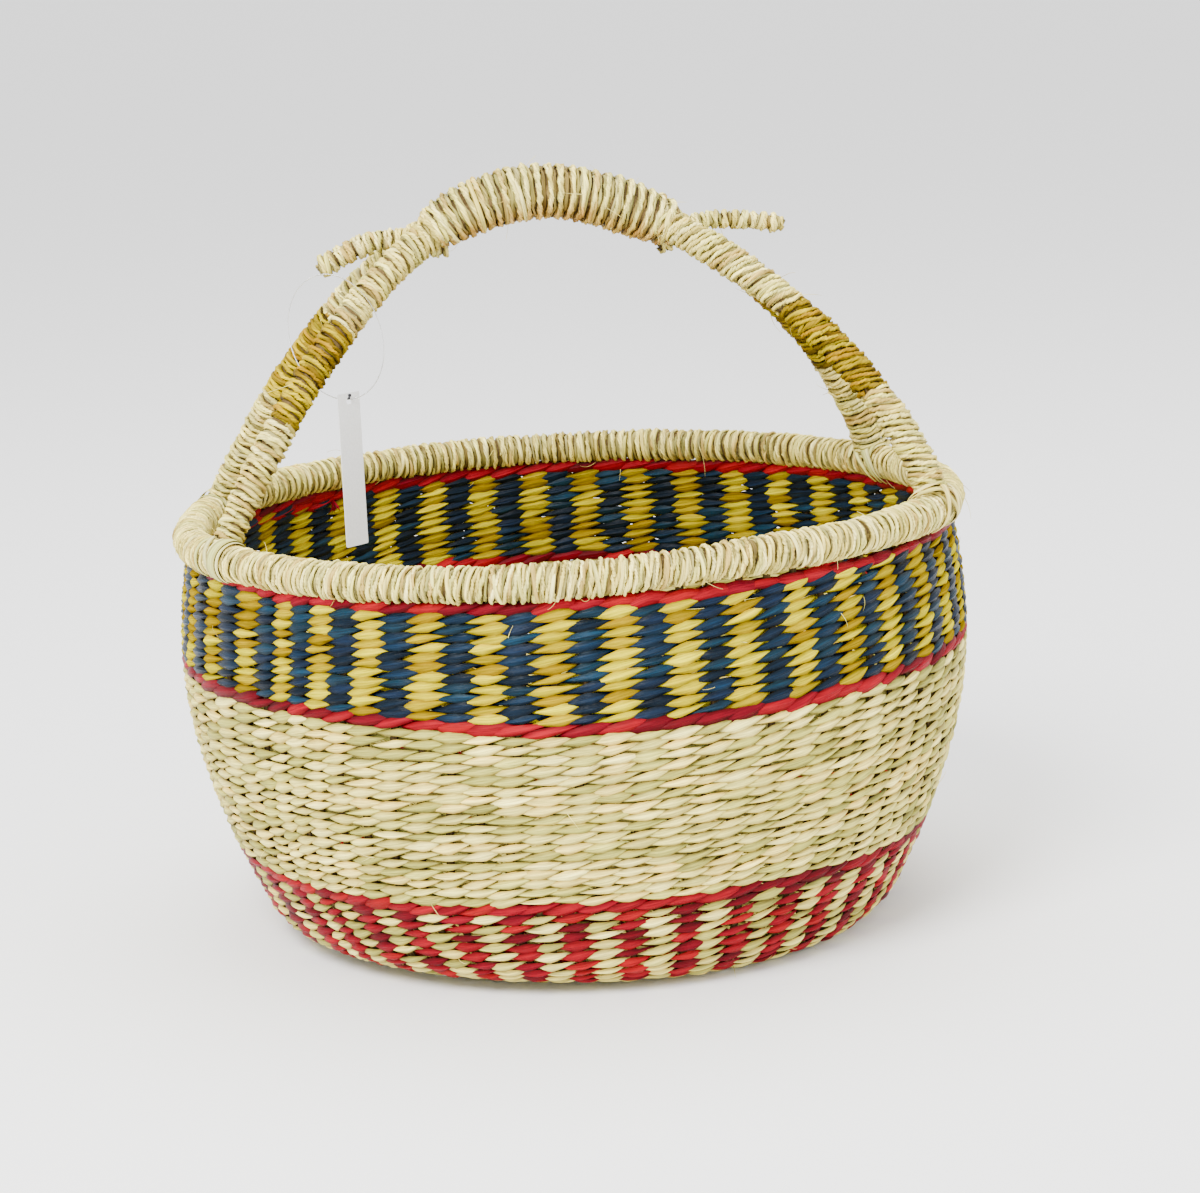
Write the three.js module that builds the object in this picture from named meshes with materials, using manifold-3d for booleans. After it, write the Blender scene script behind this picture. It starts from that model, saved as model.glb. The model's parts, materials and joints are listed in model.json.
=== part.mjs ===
// Round market basket of twined grass with a fixed double-arched handle and a hanging tag.
// Millimetres, +Z up. The origin is the centre of the flat underside, and X runs along the handle.
import * as THREE from 'three';
import { mergeVertices } from 'three/addons/utils/BufferGeometryUtils.js';
import Module from 'manifold-3d';

const wasm = await Module();
wasm.setup();

// Driving dimensions: general
const CLEARANCE = 0.3;

// Driving dimensions: bowl
const BASE_RADIUS = 151;
const FOOT_LIP_RADIUS = 164;
const FOOT_LIP_HEIGHT = 7;
const WAIST_RADIUS = 173;
const WAIST_HEIGHT = 32;
const BELLY_RADIUS = 202;
const BELLY_HEIGHT = 144;
const MOUTH_RADIUS = 195.7;
const MOUTH_HEIGHT = 199.4;
const SWELL_STEPS = 2;

// Driving dimensions: weave
const STAKE_PAIRS = 41;
const WEFT_THICKNESS = 2.2;
const STAKE_THICKNESS = 2;
const STAKE_WIDTH = 4;
const STAKE_WIDTH_AT_HUB = 3;
const HUB_RADIUS = 52;
const RED_ROW_WIDTH = 5.2;
const LOWER_RED_HEIGHT = 48;
const FOOT_ROWS = 2;
const LOWER_STRIPE_ROWS = 9;

// Driving dimensions: rim
const RIM_INSET = 2.7;
const RIM_RISE = 11.1;
const RIM_CORE_RADIUS = 6.2;
const RIM_TUBE_RADIUS = 8.8;
const TUBE_SIDES = 8;
const RIM_LONG_STEPS = 12;
const RIM_SHORT_STEPS = 6;

// Driving dimensions: handle
const LEFT_FOOT_OFFSET_IN_STAKES = 5;
const RIGHT_FOOT_OFFSET_IN_STAKES = 6;
const HANDLE_CROWN_HEIGHT = 372;
const HANDLE_CROWN_OFFSET = -7.5;
const LEFT_ARCH_FULLNESS = 1.02;
const LEFT_ARCH_SQUARENESS = 1.92;
const RIGHT_ARCH_FULLNESS = 1.2;
const RIGHT_ARCH_SQUARENESS = 1.37;
const ARCH_STEPS = 10;
const LEG_CORE_RADIUS = 5.5;
const LEG_RADIUS = 8.2;
const GRIP_HALF_LENGTH = 62;
const GRIP_OFFSET = 6;
const GRIP_HALF_SPACING = 9;
const GRIP_HALF_HEIGHT = 14.2;
const GRIP_SECTION_POINTS = 12;
const SPLAY_START = 50;
const SPLAY_EASE = 0.12;
const GOLD_BAND_TOP_DROP = 60;
const GOLD_BAND_BOTTOM_DROP = 102;

// Driving dimensions: horns, the two short bound ends that leave the grip
const LEFT_HORN_LENGTH = 60;
const RIGHT_HORN_LENGTH = 56;
const HORN_ROOT_RISE = 9;
const LEFT_HORN_TIP_DROP = 32;
const RIGHT_HORN_TIP_DROP = 20.5;
const HORN_CORE_RADIUS = 2.7;
const HORN_TAPER_LENGTH = 6;
const HORN_TIP_RADIUS = 1.1;
const HORN_TURNS = 20;
const HORN_STRIP_WIDTH = 2.1;
const HORN_STRIP_THICKNESS = 1.5;
const HORN_STEPS_PER_TURN = 8;

// Driving dimensions: lashings that bind each foot to the rim
const LASHING_TURNS = 4;
const LASHING_STRIP_WIDTH = 4.4;
const LASHING_STRIP_THICKNESS = 1.5;
const LASHING_PITCH = 5.4;
const LASHING_STEPS_PER_TURN = 12;
const LASHING_END_TRIM = 0.28;
const LASHING_SIDE_ROOM = 0.6;
const LASHING_CROSSING = 0.27;

// Driving dimensions: tag
const TAG_DROP = 63;
const TAG_SEAT_LENGTH = 1;
const TAG_LOOP_HALF_WIDTH = 20;
const TAG_LOOP_HALF_HEIGHT = 32;
const TAG_FILAMENT_RADIUS = 0.45;
const TAG_LOOP_ROOM = 0.95;
const TAG_LOOP_LEAN = 9;
const TAG_LOOP_STEPS = 24;
const TAG_LOOP_SIDES = 5;
const CARD_WIDTH = 15;
const CARD_LENGTH = 77;
const CARD_THICKNESS = 0.6;
const CARD_HOLE_RADIUS = 1.8;
const CARD_HOLE_INSET = 4;
const CARD_FACING = -48;

// The rim's centre line lies above the mouth, a little inside it.
const RIM_RADIUS = MOUTH_RADIUS - RIM_INSET;
const RIM_HEIGHT = MOUTH_HEIGHT + RIM_RISE;

const group = new THREE.Group();

// Materials

const COLOURS = {
  natural: [0xcdbd8c, 0.85],
  core: [0xb9a36c, 0.9],
  gold: [0xb8901c, 0.75],
  blueGold: [0x24466a, 0.75],
  redNatural: [0xb0283a, 0.78],
  red: [0xb3121f, 0.75],
  greenGrass: [0xc6c38c, 0.8],
  paper: [0xf4f4f2, 0.6],
  filament: [0xe8ecee, 0.3],
};

function addMesh(name, geometry, colourName) {
  const [color, roughness] = COLOURS[colourName];
  const material = new THREE.MeshStandardMaterial({ color, roughness, metalness: 0 });
  const mesh = new THREE.Mesh(geometry, material);
  mesh.name = name;
  group.add(mesh);
  return mesh;
}

// Geometry helpers

function signedVolume(positions, index) {
  let volume = 0;
  const corner = (i) => new THREE.Vector3().fromArray(positions, 3 * index[i]);
  for (let i = 0; i < index.length; i += 3) {
    volume += corner(i).dot(corner(i + 1).cross(corner(i + 2))) / 6;
  }
  return volume;
}

function closedGeometry(positions, index) {
  if (signedVolume(positions, index) < 0) {
    index.reverse();
  }
  const geometry = new THREE.BufferGeometry();
  geometry.setAttribute('position', new THREE.Float32BufferAttribute(positions, 3));
  geometry.setIndex(index);
  return geometry;
}

function joinRings(index, ringA, ringB, sides) {
  for (let k = 0; k < sides; k += 1) {
    const next = (k + 1) % sides;
    index.push(ringA + k, ringB + k, ringB + next);
    index.push(ringA + k, ringB + next, ringA + next);
  }
}

// A frame at each path point: the tangent and two directions across it. The neighbours are the
// points just before and after an open path, where its ends are mitred to the next piece.
function framesAlong(path, references, closed, neighbours = []) {
  const last = path.length - 1;
  return path.map((point, i) => {
    const before = i > 0 ? path[i - 1] : (closed ? path[last] : neighbours[0] ?? point);
    const after = i < last ? path[i + 1] : (closed ? path[0] : neighbours[1] ?? point);
    const into = point.clone().sub(before).normalize();
    const away = after.clone().sub(point).normalize();
    const tangent = into.add(away).normalize();
    const reference = Array.isArray(references) ? references[i] : references;
    const across = reference.clone().cross(tangent).normalize();
    const along = tangent.clone().cross(across);
    return { point, across, along };
  });
}

// Sweeps a section along a path. A section is a list of [across, along] pairs; with a bore
// the solid is a sleeve that is open at both ends.
function sweep(path, references, sectionAt, boreAt = null, closed = false, neighbours = []) {
  const frames = framesAlong(path, references, closed, neighbours);
  const positions = [];
  const index = [];
  const addRing = (frame, section) => {
    const first = positions.length / 3;
    for (const [a, b] of section) {
      const corner = frame.point.clone().addScaledVector(frame.across, a).addScaledVector(frame.along, b);
      positions.push(corner.x, corner.y, corner.z);
    }
    return first;
  };
  const outer = frames.map((frame, i) => addRing(frame, sectionAt(i)));
  const sides = sectionAt(0).length;
  const lastRing = outer.length - 1;
  for (let i = 0; i < lastRing; i += 1) {
    joinRings(index, outer[i], outer[i + 1], sides);
  }
  if (closed) {
    joinRings(index, outer[lastRing], outer[0], sides);
    return closedGeometry(positions, index);
  }
  if (boreAt) {
    const inner = frames.map((frame, i) => addRing(frame, boreAt(i)));
    for (let i = 0; i < lastRing; i += 1) {
      joinRings(index, inner[i + 1], inner[i], sides);
    }
    joinRings(index, inner[0], outer[0], sides);
    joinRings(index, outer[lastRing], inner[lastRing], sides);
    return closedGeometry(positions, index);
  }
  for (let k = 1; k < sides - 1; k += 1) {
    index.push(outer[0], outer[0] + k, outer[0] + k + 1);
    index.push(outer[lastRing], outer[lastRing] + k + 1, outer[lastRing] + k);
  }
  return closedGeometry(positions, index);
}

function roundSection(radius, sides = TUBE_SIDES) {
  return Array.from({ length: sides }, (_, k) => {
    const angle = (2 * Math.PI * (k + 0.5)) / sides;
    return [radius * Math.cos(angle), radius * Math.sin(angle)];
  });
}

function flatSection(thickness, width) {
  return [[-thickness / 2, -width / 2], [thickness / 2, -width / 2],
    [thickness / 2, width / 2], [-thickness / 2, width / 2]];
}

function tube(path, references, radius, sides = TUBE_SIDES, closed = false) {
  return sweep(path, references, () => roundSection(radius, sides), null, closed);
}

function sleeve(path, references, radius, boreRadius, neighbours = []) {
  const outerAt = () => roundSection(radius);
  const boreAt = () => roundSection(boreRadius);
  return sweep(path, references, outerAt, boreAt, false, neighbours);
}

// The stretch of a polyline between two arc lengths.
function stretch(path, from, to) {
  const points = [];
  let travelled = 0;
  for (let i = 0; i < path.length - 1; i += 1) {
    const length = path[i].distanceTo(path[i + 1]);
    const at = (s) => path[i].clone().lerp(path[i + 1], (s - travelled) / length);
    if (from >= travelled && from < travelled + length) {
      points.push(at(from));
    }
    if (to > travelled && to <= travelled + length) {
      points.push(at(to));
      return points;
    }
    if (travelled + length > from) {
      points.push(path[i + 1].clone());
    }
    travelled += length;
  }
  return points;
}

function pathLength(path) {
  return path.slice(1).reduce((sum, point, i) => sum + point.distanceTo(path[i]), 0);
}

function toManifold(geometry) {
  const bare = new THREE.BufferGeometry();
  bare.setAttribute('position', geometry.getAttribute('position').clone());
  bare.setIndex(geometry.getIndex().clone());
  const merged = mergeVertices(bare, 1e-4);
  return new wasm.Manifold(new wasm.Mesh({
    numProp: 3,
    vertProperties: new Float32Array(merged.getAttribute('position').array),
    triVerts: new Uint32Array(merged.getIndex().array),
  }));
}

function cutAway(geometry, cutter) {
  const mesh = toManifold(geometry).subtract(toManifold(cutter)).getMesh();
  return closedGeometry(Array.from(mesh.vertProperties), Array.from(mesh.triVerts));
}

// Bowl: the outside of the wall in section. It runs from the centre of the base over the foot's
// rounded lip to the waist, swells along a quarter of a sine to the belly and draws in to the mouth.

const wallLine = [
  new THREE.Vector2(0, 0),
  new THREE.Vector2(BASE_RADIUS, 0),
  new THREE.Vector2(FOOT_LIP_RADIUS, FOOT_LIP_HEIGHT),
  new THREE.Vector2(WAIST_RADIUS, WAIST_HEIGHT),
];
for (let k = 1; k <= SWELL_STEPS; k += 1) {
  const share = k / SWELL_STEPS;
  wallLine.push(new THREE.Vector2(
    WAIST_RADIUS + (BELLY_RADIUS - WAIST_RADIUS) * Math.sin((share * Math.PI) / 2),
    WAIST_HEIGHT + (BELLY_HEIGHT - WAIST_HEIGHT) * share,
  ));
}
wallLine.push(new THREE.Vector2(MOUTH_RADIUS, MOUTH_HEIGHT));
const wallStops = [-BASE_RADIUS, 0];
for (let i = 2; i < wallLine.length; i += 1) {
  wallStops.push(wallStops[i - 1] + wallLine[i].distanceTo(wallLine[i - 1]));
}
const WALL_END = wallStops[wallStops.length - 1];

// Distance along the wall, from the edge of the base, at a height.
function wallStopAt(height) {
  const i = wallLine.findIndex((point, k) => k > 1 && point.y >= height);
  const share = (height - wallLine[i - 1].y) / (wallLine[i].y - wallLine[i - 1].y);
  return wallStops[i - 1] + share * (wallStops[i] - wallStops[i - 1]);
}

function inwardNormal(i) {
  const run = wallLine[i + 1].clone().sub(wallLine[i]).normalize();
  return new THREE.Vector2(-run.y, run.x);
}

// The point at a distance along the wall and a depth in from its outside. Close to a corner
// of the wall line it keeps to the corner's mitre, so pieces that end there stay parallel.
function wallPoint(stop, depth) {
  const lastRun = wallLine.length - 2;
  const corner = wallStops.findIndex((value) => Math.abs(value - stop) <= CLEARANCE);
  if (corner > 0 && corner <= lastRun) {
    const before = inwardNormal(corner - 1);
    const after = inwardNormal(corner);
    const middle = before.clone().add(after).normalize();
    const run = stop < wallStops[corner] ? corner - 1 : corner;
    const along = wallLine[run + 1].clone().sub(wallLine[run]).normalize();
    return wallLine[corner].clone()
      .addScaledVector(middle, depth / middle.dot(after))
      .addScaledVector(along, stop - wallStops[corner]);
  }
  let i = 0;
  while (i < lastRun && wallStops[i + 1] < stop) {
    i += 1;
  }
  const share = (stop - wallStops[i]) / (wallStops[i + 1] - wallStops[i]);
  return wallLine[i].clone().lerp(wallLine[i + 1], share).addScaledVector(inwardNormal(i), depth);
}

// A closed ring, or a disc where it starts on the axis, of one zone of the weave.
function weftRing(from, to, outside, inside) {
  const corners = wallStops.filter((stop) => stop > from + 1e-6 && stop < to - 1e-6);
  const stops = [from, ...corners, to];
  const profile = stops.map((stop) => wallPoint(stop, outside));
  profile.push(...stops.reverse().map((stop) => wallPoint(stop, inside)));
  if (from > -BASE_RADIUS) {
    profile.push(profile[0].clone());
  }
  const turned = new THREE.LatheGeometry(profile, STAKE_PAIRS);
  turned.rotateX(Math.PI / 2);
  turned.rotateZ(Math.PI / 2);
  turned.deleteAttribute('normal');
  turned.deleteAttribute('uv');
  const merged = mergeVertices(turned, 1e-4);
  const triangles = Array.from(merged.getIndex().array);
  const kept = [];
  for (let i = 0; i < triangles.length; i += 3) {
    const [a, b, c] = triangles.slice(i, i + 3);
    if (a !== b && b !== c && c !== a) {
      kept.push(a, b, c);
    }
  }
  return closedGeometry(Array.from(merged.getAttribute('position').array), kept);
}

// Weave: each zone of weft rows lies as one layer outside the stakes and one inside them

const stakeDepth = WEFT_THICKNESS + CLEARANCE;
const innerWeftDepth = stakeDepth + STAKE_THICKNESS + CLEARANCE;
const WALL_THICKNESS = innerWeftDepth + WEFT_THICKNESS;

const lowerRedMiddle = wallStopAt(LOWER_RED_HEIGHT);
const upperRedMiddle = wallStopAt(BELLY_HEIGHT);
const lowerRedStart = lowerRedMiddle - RED_ROW_WIDTH / 2;
const lowerRedEnd = lowerRedMiddle + RED_ROW_WIDTH / 2;
const upperRedStart = upperRedMiddle - RED_ROW_WIDTH / 2;
const upperRedEnd = upperRedMiddle + RED_ROW_WIDTH / 2;
const topRedStart = WALL_END - RED_ROW_WIDTH;
const footEnd = (FOOT_ROWS * lowerRedStart) / (FOOT_ROWS + LOWER_STRIPE_ROWS);

const zones = [
  ['base_rows', -BASE_RADIUS, 0, 'natural'],
  ['foot_rows', 0, footEnd, 'natural'],
  ['lower_striped_rows', footEnd, lowerRedStart, 'redNatural'],
  ['lower_red_row', lowerRedStart, lowerRedEnd, 'red'],
  ['middle_plain_rows', lowerRedEnd, upperRedStart, 'natural'],
  ['upper_red_row', upperRedStart, upperRedEnd, 'red'],
  ['upper_striped_rows', upperRedEnd, topRedStart, 'blueGold'],
  ['top_red_row', topRedStart, WALL_END, 'red'],
];

for (const [name, start, end, colour] of zones) {
  const from = start > -BASE_RADIUS ? start + CLEARANCE / 2 : start;
  const to = end < WALL_END ? end - CLEARANCE / 2 : end;
  addMesh(`${name}_outside`, weftRing(from, to, 0, WEFT_THICKNESS), colour);
  addMesh(`${name}_inside`, weftRing(from, to, innerWeftDepth, WALL_THICKNESS), colour);
}

// Stakes: bundles that cross at the middle of the base, run out and up the wall to the rim.
// They sit on the flats of the weft rings, a quarter of a flat from each corner.

function stakeCage() {
  const count = 2 * STAKE_PAIRS;
  const flat = Math.PI / STAKE_PAIRS;
  const onFlat = Math.cos(flat) / Math.cos(flat / 2);
  const rimUnderside = RIM_HEIGHT - RIM_TUBE_RADIUS * Math.cos(Math.PI / TUBE_SIDES) - CLEARANCE;
  const lane = [];
  const wallCorners = wallStops.slice(1, -1);
  lane.push({
    low: new THREE.Vector2(HUB_RADIUS, stakeDepth),
    high: new THREE.Vector2(HUB_RADIUS, stakeDepth + STAKE_THICKNESS),
    width: STAKE_WIDTH_AT_HUB,
  });
  for (const stop of wallCorners) {
    const low = wallPoint(stop, stakeDepth);
    const high = wallPoint(stop, stakeDepth + STAKE_THICKNESS);
    lane.push({ low, high, width: STAKE_WIDTH });
  }
  const reachRim = (depth) => {
    const under = lane[lane.length - 1][depth === stakeDepth ? 'low' : 'high'];
    const mouth = wallPoint(WALL_END, depth);
    return under.clone().lerp(mouth, (rimUnderside - under.y) / (mouth.y - under.y));
  };
  lane.push({
    low: reachRim(stakeDepth),
    high: reachRim(stakeDepth + STAKE_THICKNESS),
    width: STAKE_WIDTH,
  });

  const positions = [];
  const index = [];
  const push = (x, y, z) => {
    positions.push(x, y, z);
    return positions.length / 3 - 1;
  };
  const starts = [];
  for (let i = 0; i < count; i += 1) {
    const angle = (2 * Math.PI * (i + 0.5)) / count;
    const place = (radius, side, height) => push(
      radius * Math.cos(angle) - side * Math.sin(angle),
      radius * Math.sin(angle) + side * Math.cos(angle),
      height,
    );
    const rings = lane.map(({ low, high, width }) => [
      place(low.x * onFlat, -width / 2, low.y),
      place(low.x * onFlat, width / 2, low.y),
      place(high.x * onFlat, 0, high.y),
    ]);
    starts.push(rings[0]);
    for (let k = 0; k < rings.length - 1; k += 1) {
      for (let side = 0; side < 3; side += 1) {
        const next = (side + 1) % 3;
        index.push(rings[k][side], rings[k][next], rings[k + 1][next]);
        index.push(rings[k][side], rings[k + 1][next], rings[k + 1][side]);
      }
    }
    const end = rings[rings.length - 1];
    index.push(end[0], end[1], end[2]);
  }
  const lowMiddle = push(0, 0, stakeDepth);
  const highMiddle = push(0, 0, stakeDepth + STAKE_THICKNESS);
  for (let i = 0; i < count; i += 1) {
    const [left, right, ridge] = starts[i];
    const [nextLeft, , nextRidge] = starts[(i + 1) % count];
    index.push(lowMiddle, right, left);
    index.push(lowMiddle, nextLeft, right);
    index.push(highMiddle, ridge, nextRidge);
    index.push(right, nextLeft, nextRidge);
    index.push(right, nextRidge, ridge);
  }
  return closedGeometry(positions, index);
}

addMesh('stake_cage', stakeCage(), 'core');

// Rim: a bundled core in a bound sleeve, which is split where the four feet stand on it

const STAKE_STEP = Math.PI / STAKE_PAIRS;
const leftFoot = LEFT_FOOT_OFFSET_IN_STAKES * STAKE_STEP;
const rightFoot = RIGHT_FOOT_OFFSET_IN_STAKES * STAKE_STEP;
const UP = new THREE.Vector3(0, 0, 1);

function rimPoint(angle) {
  return new THREE.Vector3(RIM_RADIUS * Math.cos(angle), RIM_RADIUS * Math.sin(angle), RIM_HEIGHT);
}

function rimArc(from, to, steps) {
  return Array.from({ length: steps + 1 }, (_, k) => rimPoint(from + ((to - from) * k) / steps));
}

const rimSections = [
  ['rim_binding_right', -rightFoot, rightFoot, RIM_SHORT_STEPS],
  ['rim_binding_back', rightFoot, Math.PI - leftFoot, RIM_LONG_STEPS],
  ['rim_binding_left', Math.PI - leftFoot, Math.PI + leftFoot, RIM_SHORT_STEPS],
  ['rim_binding_front', Math.PI + leftFoot, 2 * Math.PI - rightFoot, RIM_LONG_STEPS],
];
const rimCircle = rimSections.flatMap(([, from, to, steps]) => rimArc(from, to, steps).slice(0, -1));
addMesh('rim_core', tube(rimCircle, UP, RIM_CORE_RADIUS, TUBE_SIDES, true), 'core');
rimSections.forEach(([name, from, to, steps], i) => {
  const arc = rimArc(from, to, steps);
  const piece = stretch(arc, CLEARANCE / 2, pathLength(arc) - CLEARANCE / 2);
  const [, previousFrom, previousTo, previousSteps] = rimSections[(i + 3) % 4];
  const [, nextFrom, nextTo, nextSteps] = rimSections[(i + 1) % 4];
  const neighbours = [
    rimPoint(previousTo - (previousTo - previousFrom) / previousSteps),
    rimPoint(nextFrom + (nextTo - nextFrom) / nextSteps),
  ];
  addMesh(name, sleeve(piece, UP, RIM_TUBE_RADIUS, RIM_CORE_RADIUS + CLEARANCE, neighbours), 'natural');
});
const rimSeat = tube(rimCircle, UP, RIM_TUBE_RADIUS + CLEARANCE, TUBE_SIDES, true);

// Handle: two arches that stand on four feet and run side by side through the grip

const FRONT = -1;
const BACK = 1;
const LEFT = -1;
const RIGHT = 1;
const ACROSS = new THREE.Vector3(0, 1, 0);

function footAt(end) {
  const angle = end === LEFT ? leftFoot : rightFoot;
  return new THREE.Vector2(end * RIM_RADIUS * Math.cos(angle), RIM_RADIUS * Math.sin(angle));
}

function splayAt(x, end) {
  const foot = footAt(end);
  const reach = Math.abs(foot.x - HANDLE_CROWN_OFFSET) - SPLAY_START;
  const share = Math.max(0, (Math.abs(x - HANDLE_CROWN_OFFSET) - SPLAY_START) / reach);
  const eased = (share * share * (1 + SPLAY_EASE)) / (share + SPLAY_EASE);
  return GRIP_HALF_SPACING + (foot.y - GRIP_HALF_SPACING) * eased;
}

// A point of an arch: share 0 is the foot on the rim and share 1 is the crown.
function archPoint(end, side, share) {
  const turn = (share * Math.PI) / 2;
  const fullness = end === LEFT ? LEFT_ARCH_FULLNESS : RIGHT_ARCH_FULLNESS;
  const squareness = end === LEFT ? LEFT_ARCH_SQUARENESS : RIGHT_ARCH_SQUARENESS;
  const reach = footAt(end).x - HANDLE_CROWN_OFFSET;
  const rise = HANDLE_CROWN_HEIGHT - RIM_HEIGHT;
  const x = HANDLE_CROWN_OFFSET + reach * Math.pow(Math.max(0, Math.cos(turn)), fullness);
  const z = RIM_HEIGHT + rise * Math.pow(Math.sin(turn), squareness);
  return new THREE.Vector3(x, side * splayAt(x, end), z);
}

function archLine(side) {
  const points = [];
  for (let k = 0; k <= ARCH_STEPS; k += 1) {
    points.push(archPoint(LEFT, side, k / ARCH_STEPS));
  }
  for (let k = ARCH_STEPS - 1; k >= 0; k -= 1) {
    points.push(archPoint(RIGHT, side, k / ARCH_STEPS));
  }
  return points;
}

// Distance along a polyline at which a test of its points first becomes true.
function stopWhere(path, measure, value) {
  let travelled = 0;
  for (let i = 0; i < path.length - 1; i += 1) {
    const a = measure(path[i]);
    const b = measure(path[i + 1]);
    const length = path[i].distanceTo(path[i + 1]);
    if ((a - value) * (b - value) <= 0 && a !== b) {
      return travelled + (length * (value - a)) / (b - a);
    }
    travelled += length;
  }
  return travelled;
}

// Grip: one thick binding around both arches

const boreRadius = LEG_CORE_RADIUS + CLEARANCE;
const gripMiddle = HANDLE_CROWN_OFFSET + GRIP_OFFSET;

function ovalSection(halfHeight, halfWidth) {
  return Array.from({ length: GRIP_SECTION_POINTS }, (_, k) => {
    const angle = (2 * Math.PI * (k + 0.5)) / GRIP_SECTION_POINTS;
    return [halfHeight * Math.cos(angle), halfWidth * Math.sin(angle)];
  });
}

// A slot with flat sides and rounded ends, which holds both arch cores.
function slotSection(halfHeight, halfWidth) {
  return Array.from({ length: GRIP_SECTION_POINTS }, (_, k) => {
    const angle = (2 * Math.PI * (k + 0.5)) / GRIP_SECTION_POINTS;
    const outward = Math.sign(Math.sin(angle));
    const roundEnd = halfHeight / Math.cos(Math.PI / GRIP_SECTION_POINTS);
    const straight = halfWidth - halfHeight;
    return [roundEnd * Math.cos(angle), outward * straight + roundEnd * Math.sin(angle)];
  });
}

function gripLine(extra) {
  const middle = archLine(FRONT).map((point) => new THREE.Vector3(point.x, 0, point.z));
  const from = stopWhere(middle, (point) => point.x, gripMiddle - GRIP_HALF_LENGTH);
  const to = stopWhere(middle, (point) => point.x, gripMiddle + GRIP_HALF_LENGTH);
  return stretch(middle, from - extra, to + extra);
}

const grip = gripLine(0);

// Half the distance between the two arch lines, beside a point of the grip's line.
function spacingOf(point) {
  const arch = archLine(BACK);
  const i = arch.findIndex((corner, k) => k > 0 && corner.x >= point.x);
  const share = (point.x - arch[i - 1].x) / (arch[i].x - arch[i - 1].x);
  return arch[i - 1].y + share * (arch[i].y - arch[i - 1].y);
}

const gripBoreHalfHeight = boreRadius / Math.cos(Math.PI / GRIP_SECTION_POINTS);
addMesh('grip_binding', sweep(
  grip,
  ACROSS,
  (i) => ovalSection(GRIP_HALF_HEIGHT, spacingOf(grip[i]) + LEG_RADIUS),
  (i) => slotSection(gripBoreHalfHeight, spacingOf(grip[i]) + boreRadius),
), 'natural');
const gripSeatLine = gripLine(CLEARANCE);
const gripSeat = sweep(
  gripSeatLine,
  ACROSS,
  (i) => ovalSection(GRIP_HALF_HEIGHT, spacingOf(gripSeatLine[i]) + 2 * LEG_RADIUS),
);

// Legs: the bound sleeves of each arch core, between the rim and the grip

const legPieces = [
  ['lower_binding', 'natural'],
  ['gold_binding', 'gold'],
  ['upper_binding', 'natural'],
];
const halfGap = CLEARANCE / 2;

for (const side of [FRONT, BACK]) {
  const sideName = side === FRONT ? 'front' : 'back';
  const arch = archLine(side);
  addMesh(`${sideName}_arch_core`, cutAway(tube(arch, ACROSS, LEG_CORE_RADIUS), rimSeat), 'core');
  for (const end of [LEFT, RIGHT]) {
    const endName = end === LEFT ? 'left' : 'right';
    const leg = end === LEFT ? arch : [...arch].reverse();
    const marks = [
      0,
      stopWhere(leg, (point) => point.z, HANDLE_CROWN_HEIGHT - GOLD_BAND_BOTTOM_DROP),
      stopWhere(leg, (point) => point.z, HANDLE_CROWN_HEIGHT - GOLD_BAND_TOP_DROP),
      stopWhere(leg, (point) => point.x, gripMiddle + end * (GRIP_HALF_LENGTH - LEG_RADIUS)),
    ];
    legPieces.forEach(([pieceName, colour], k) => {
      const from = k > 0 ? marks[k] + halfGap : marks[k];
      const piece = stretch(leg, from, marks[k + 1] - halfGap);
      let geometry = sleeve(piece, ACROSS, LEG_RADIUS, boreRadius);
      if (k === 0) {
        geometry = cutAway(geometry, rimSeat);
      }
      if (k === legPieces.length - 1) {
        geometry = cutAway(geometry, gripSeat);
      }
      addMesh(`${sideName}_${endName}_${pieceName}`, geometry, colour);
    });
  }
}

// Windings: one unbroken flat strip around a core, with its least gap to itself printed

function printLeastGap(name, points, stepsPerTurn, stripWidth) {
  let least = Infinity;
  for (let i = 0; i < points.length; i += 1) {
    for (let j = i + Math.round(stepsPerTurn / 2); j < points.length; j += 1) {
      const next = points[Math.min(j + 1, points.length - 1)];
      const nearest = new THREE.Line3(points[j], next)
        .closestPointToPoint(points[i], true, new THREE.Vector3());
      least = Math.min(least, nearest.distanceTo(points[i]));
    }
  }
  console.log(`${name}: least gap to itself ${(least - stripWidth).toFixed(2)} mm`);
}

// Horns: a tapering core with its bound strip

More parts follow.
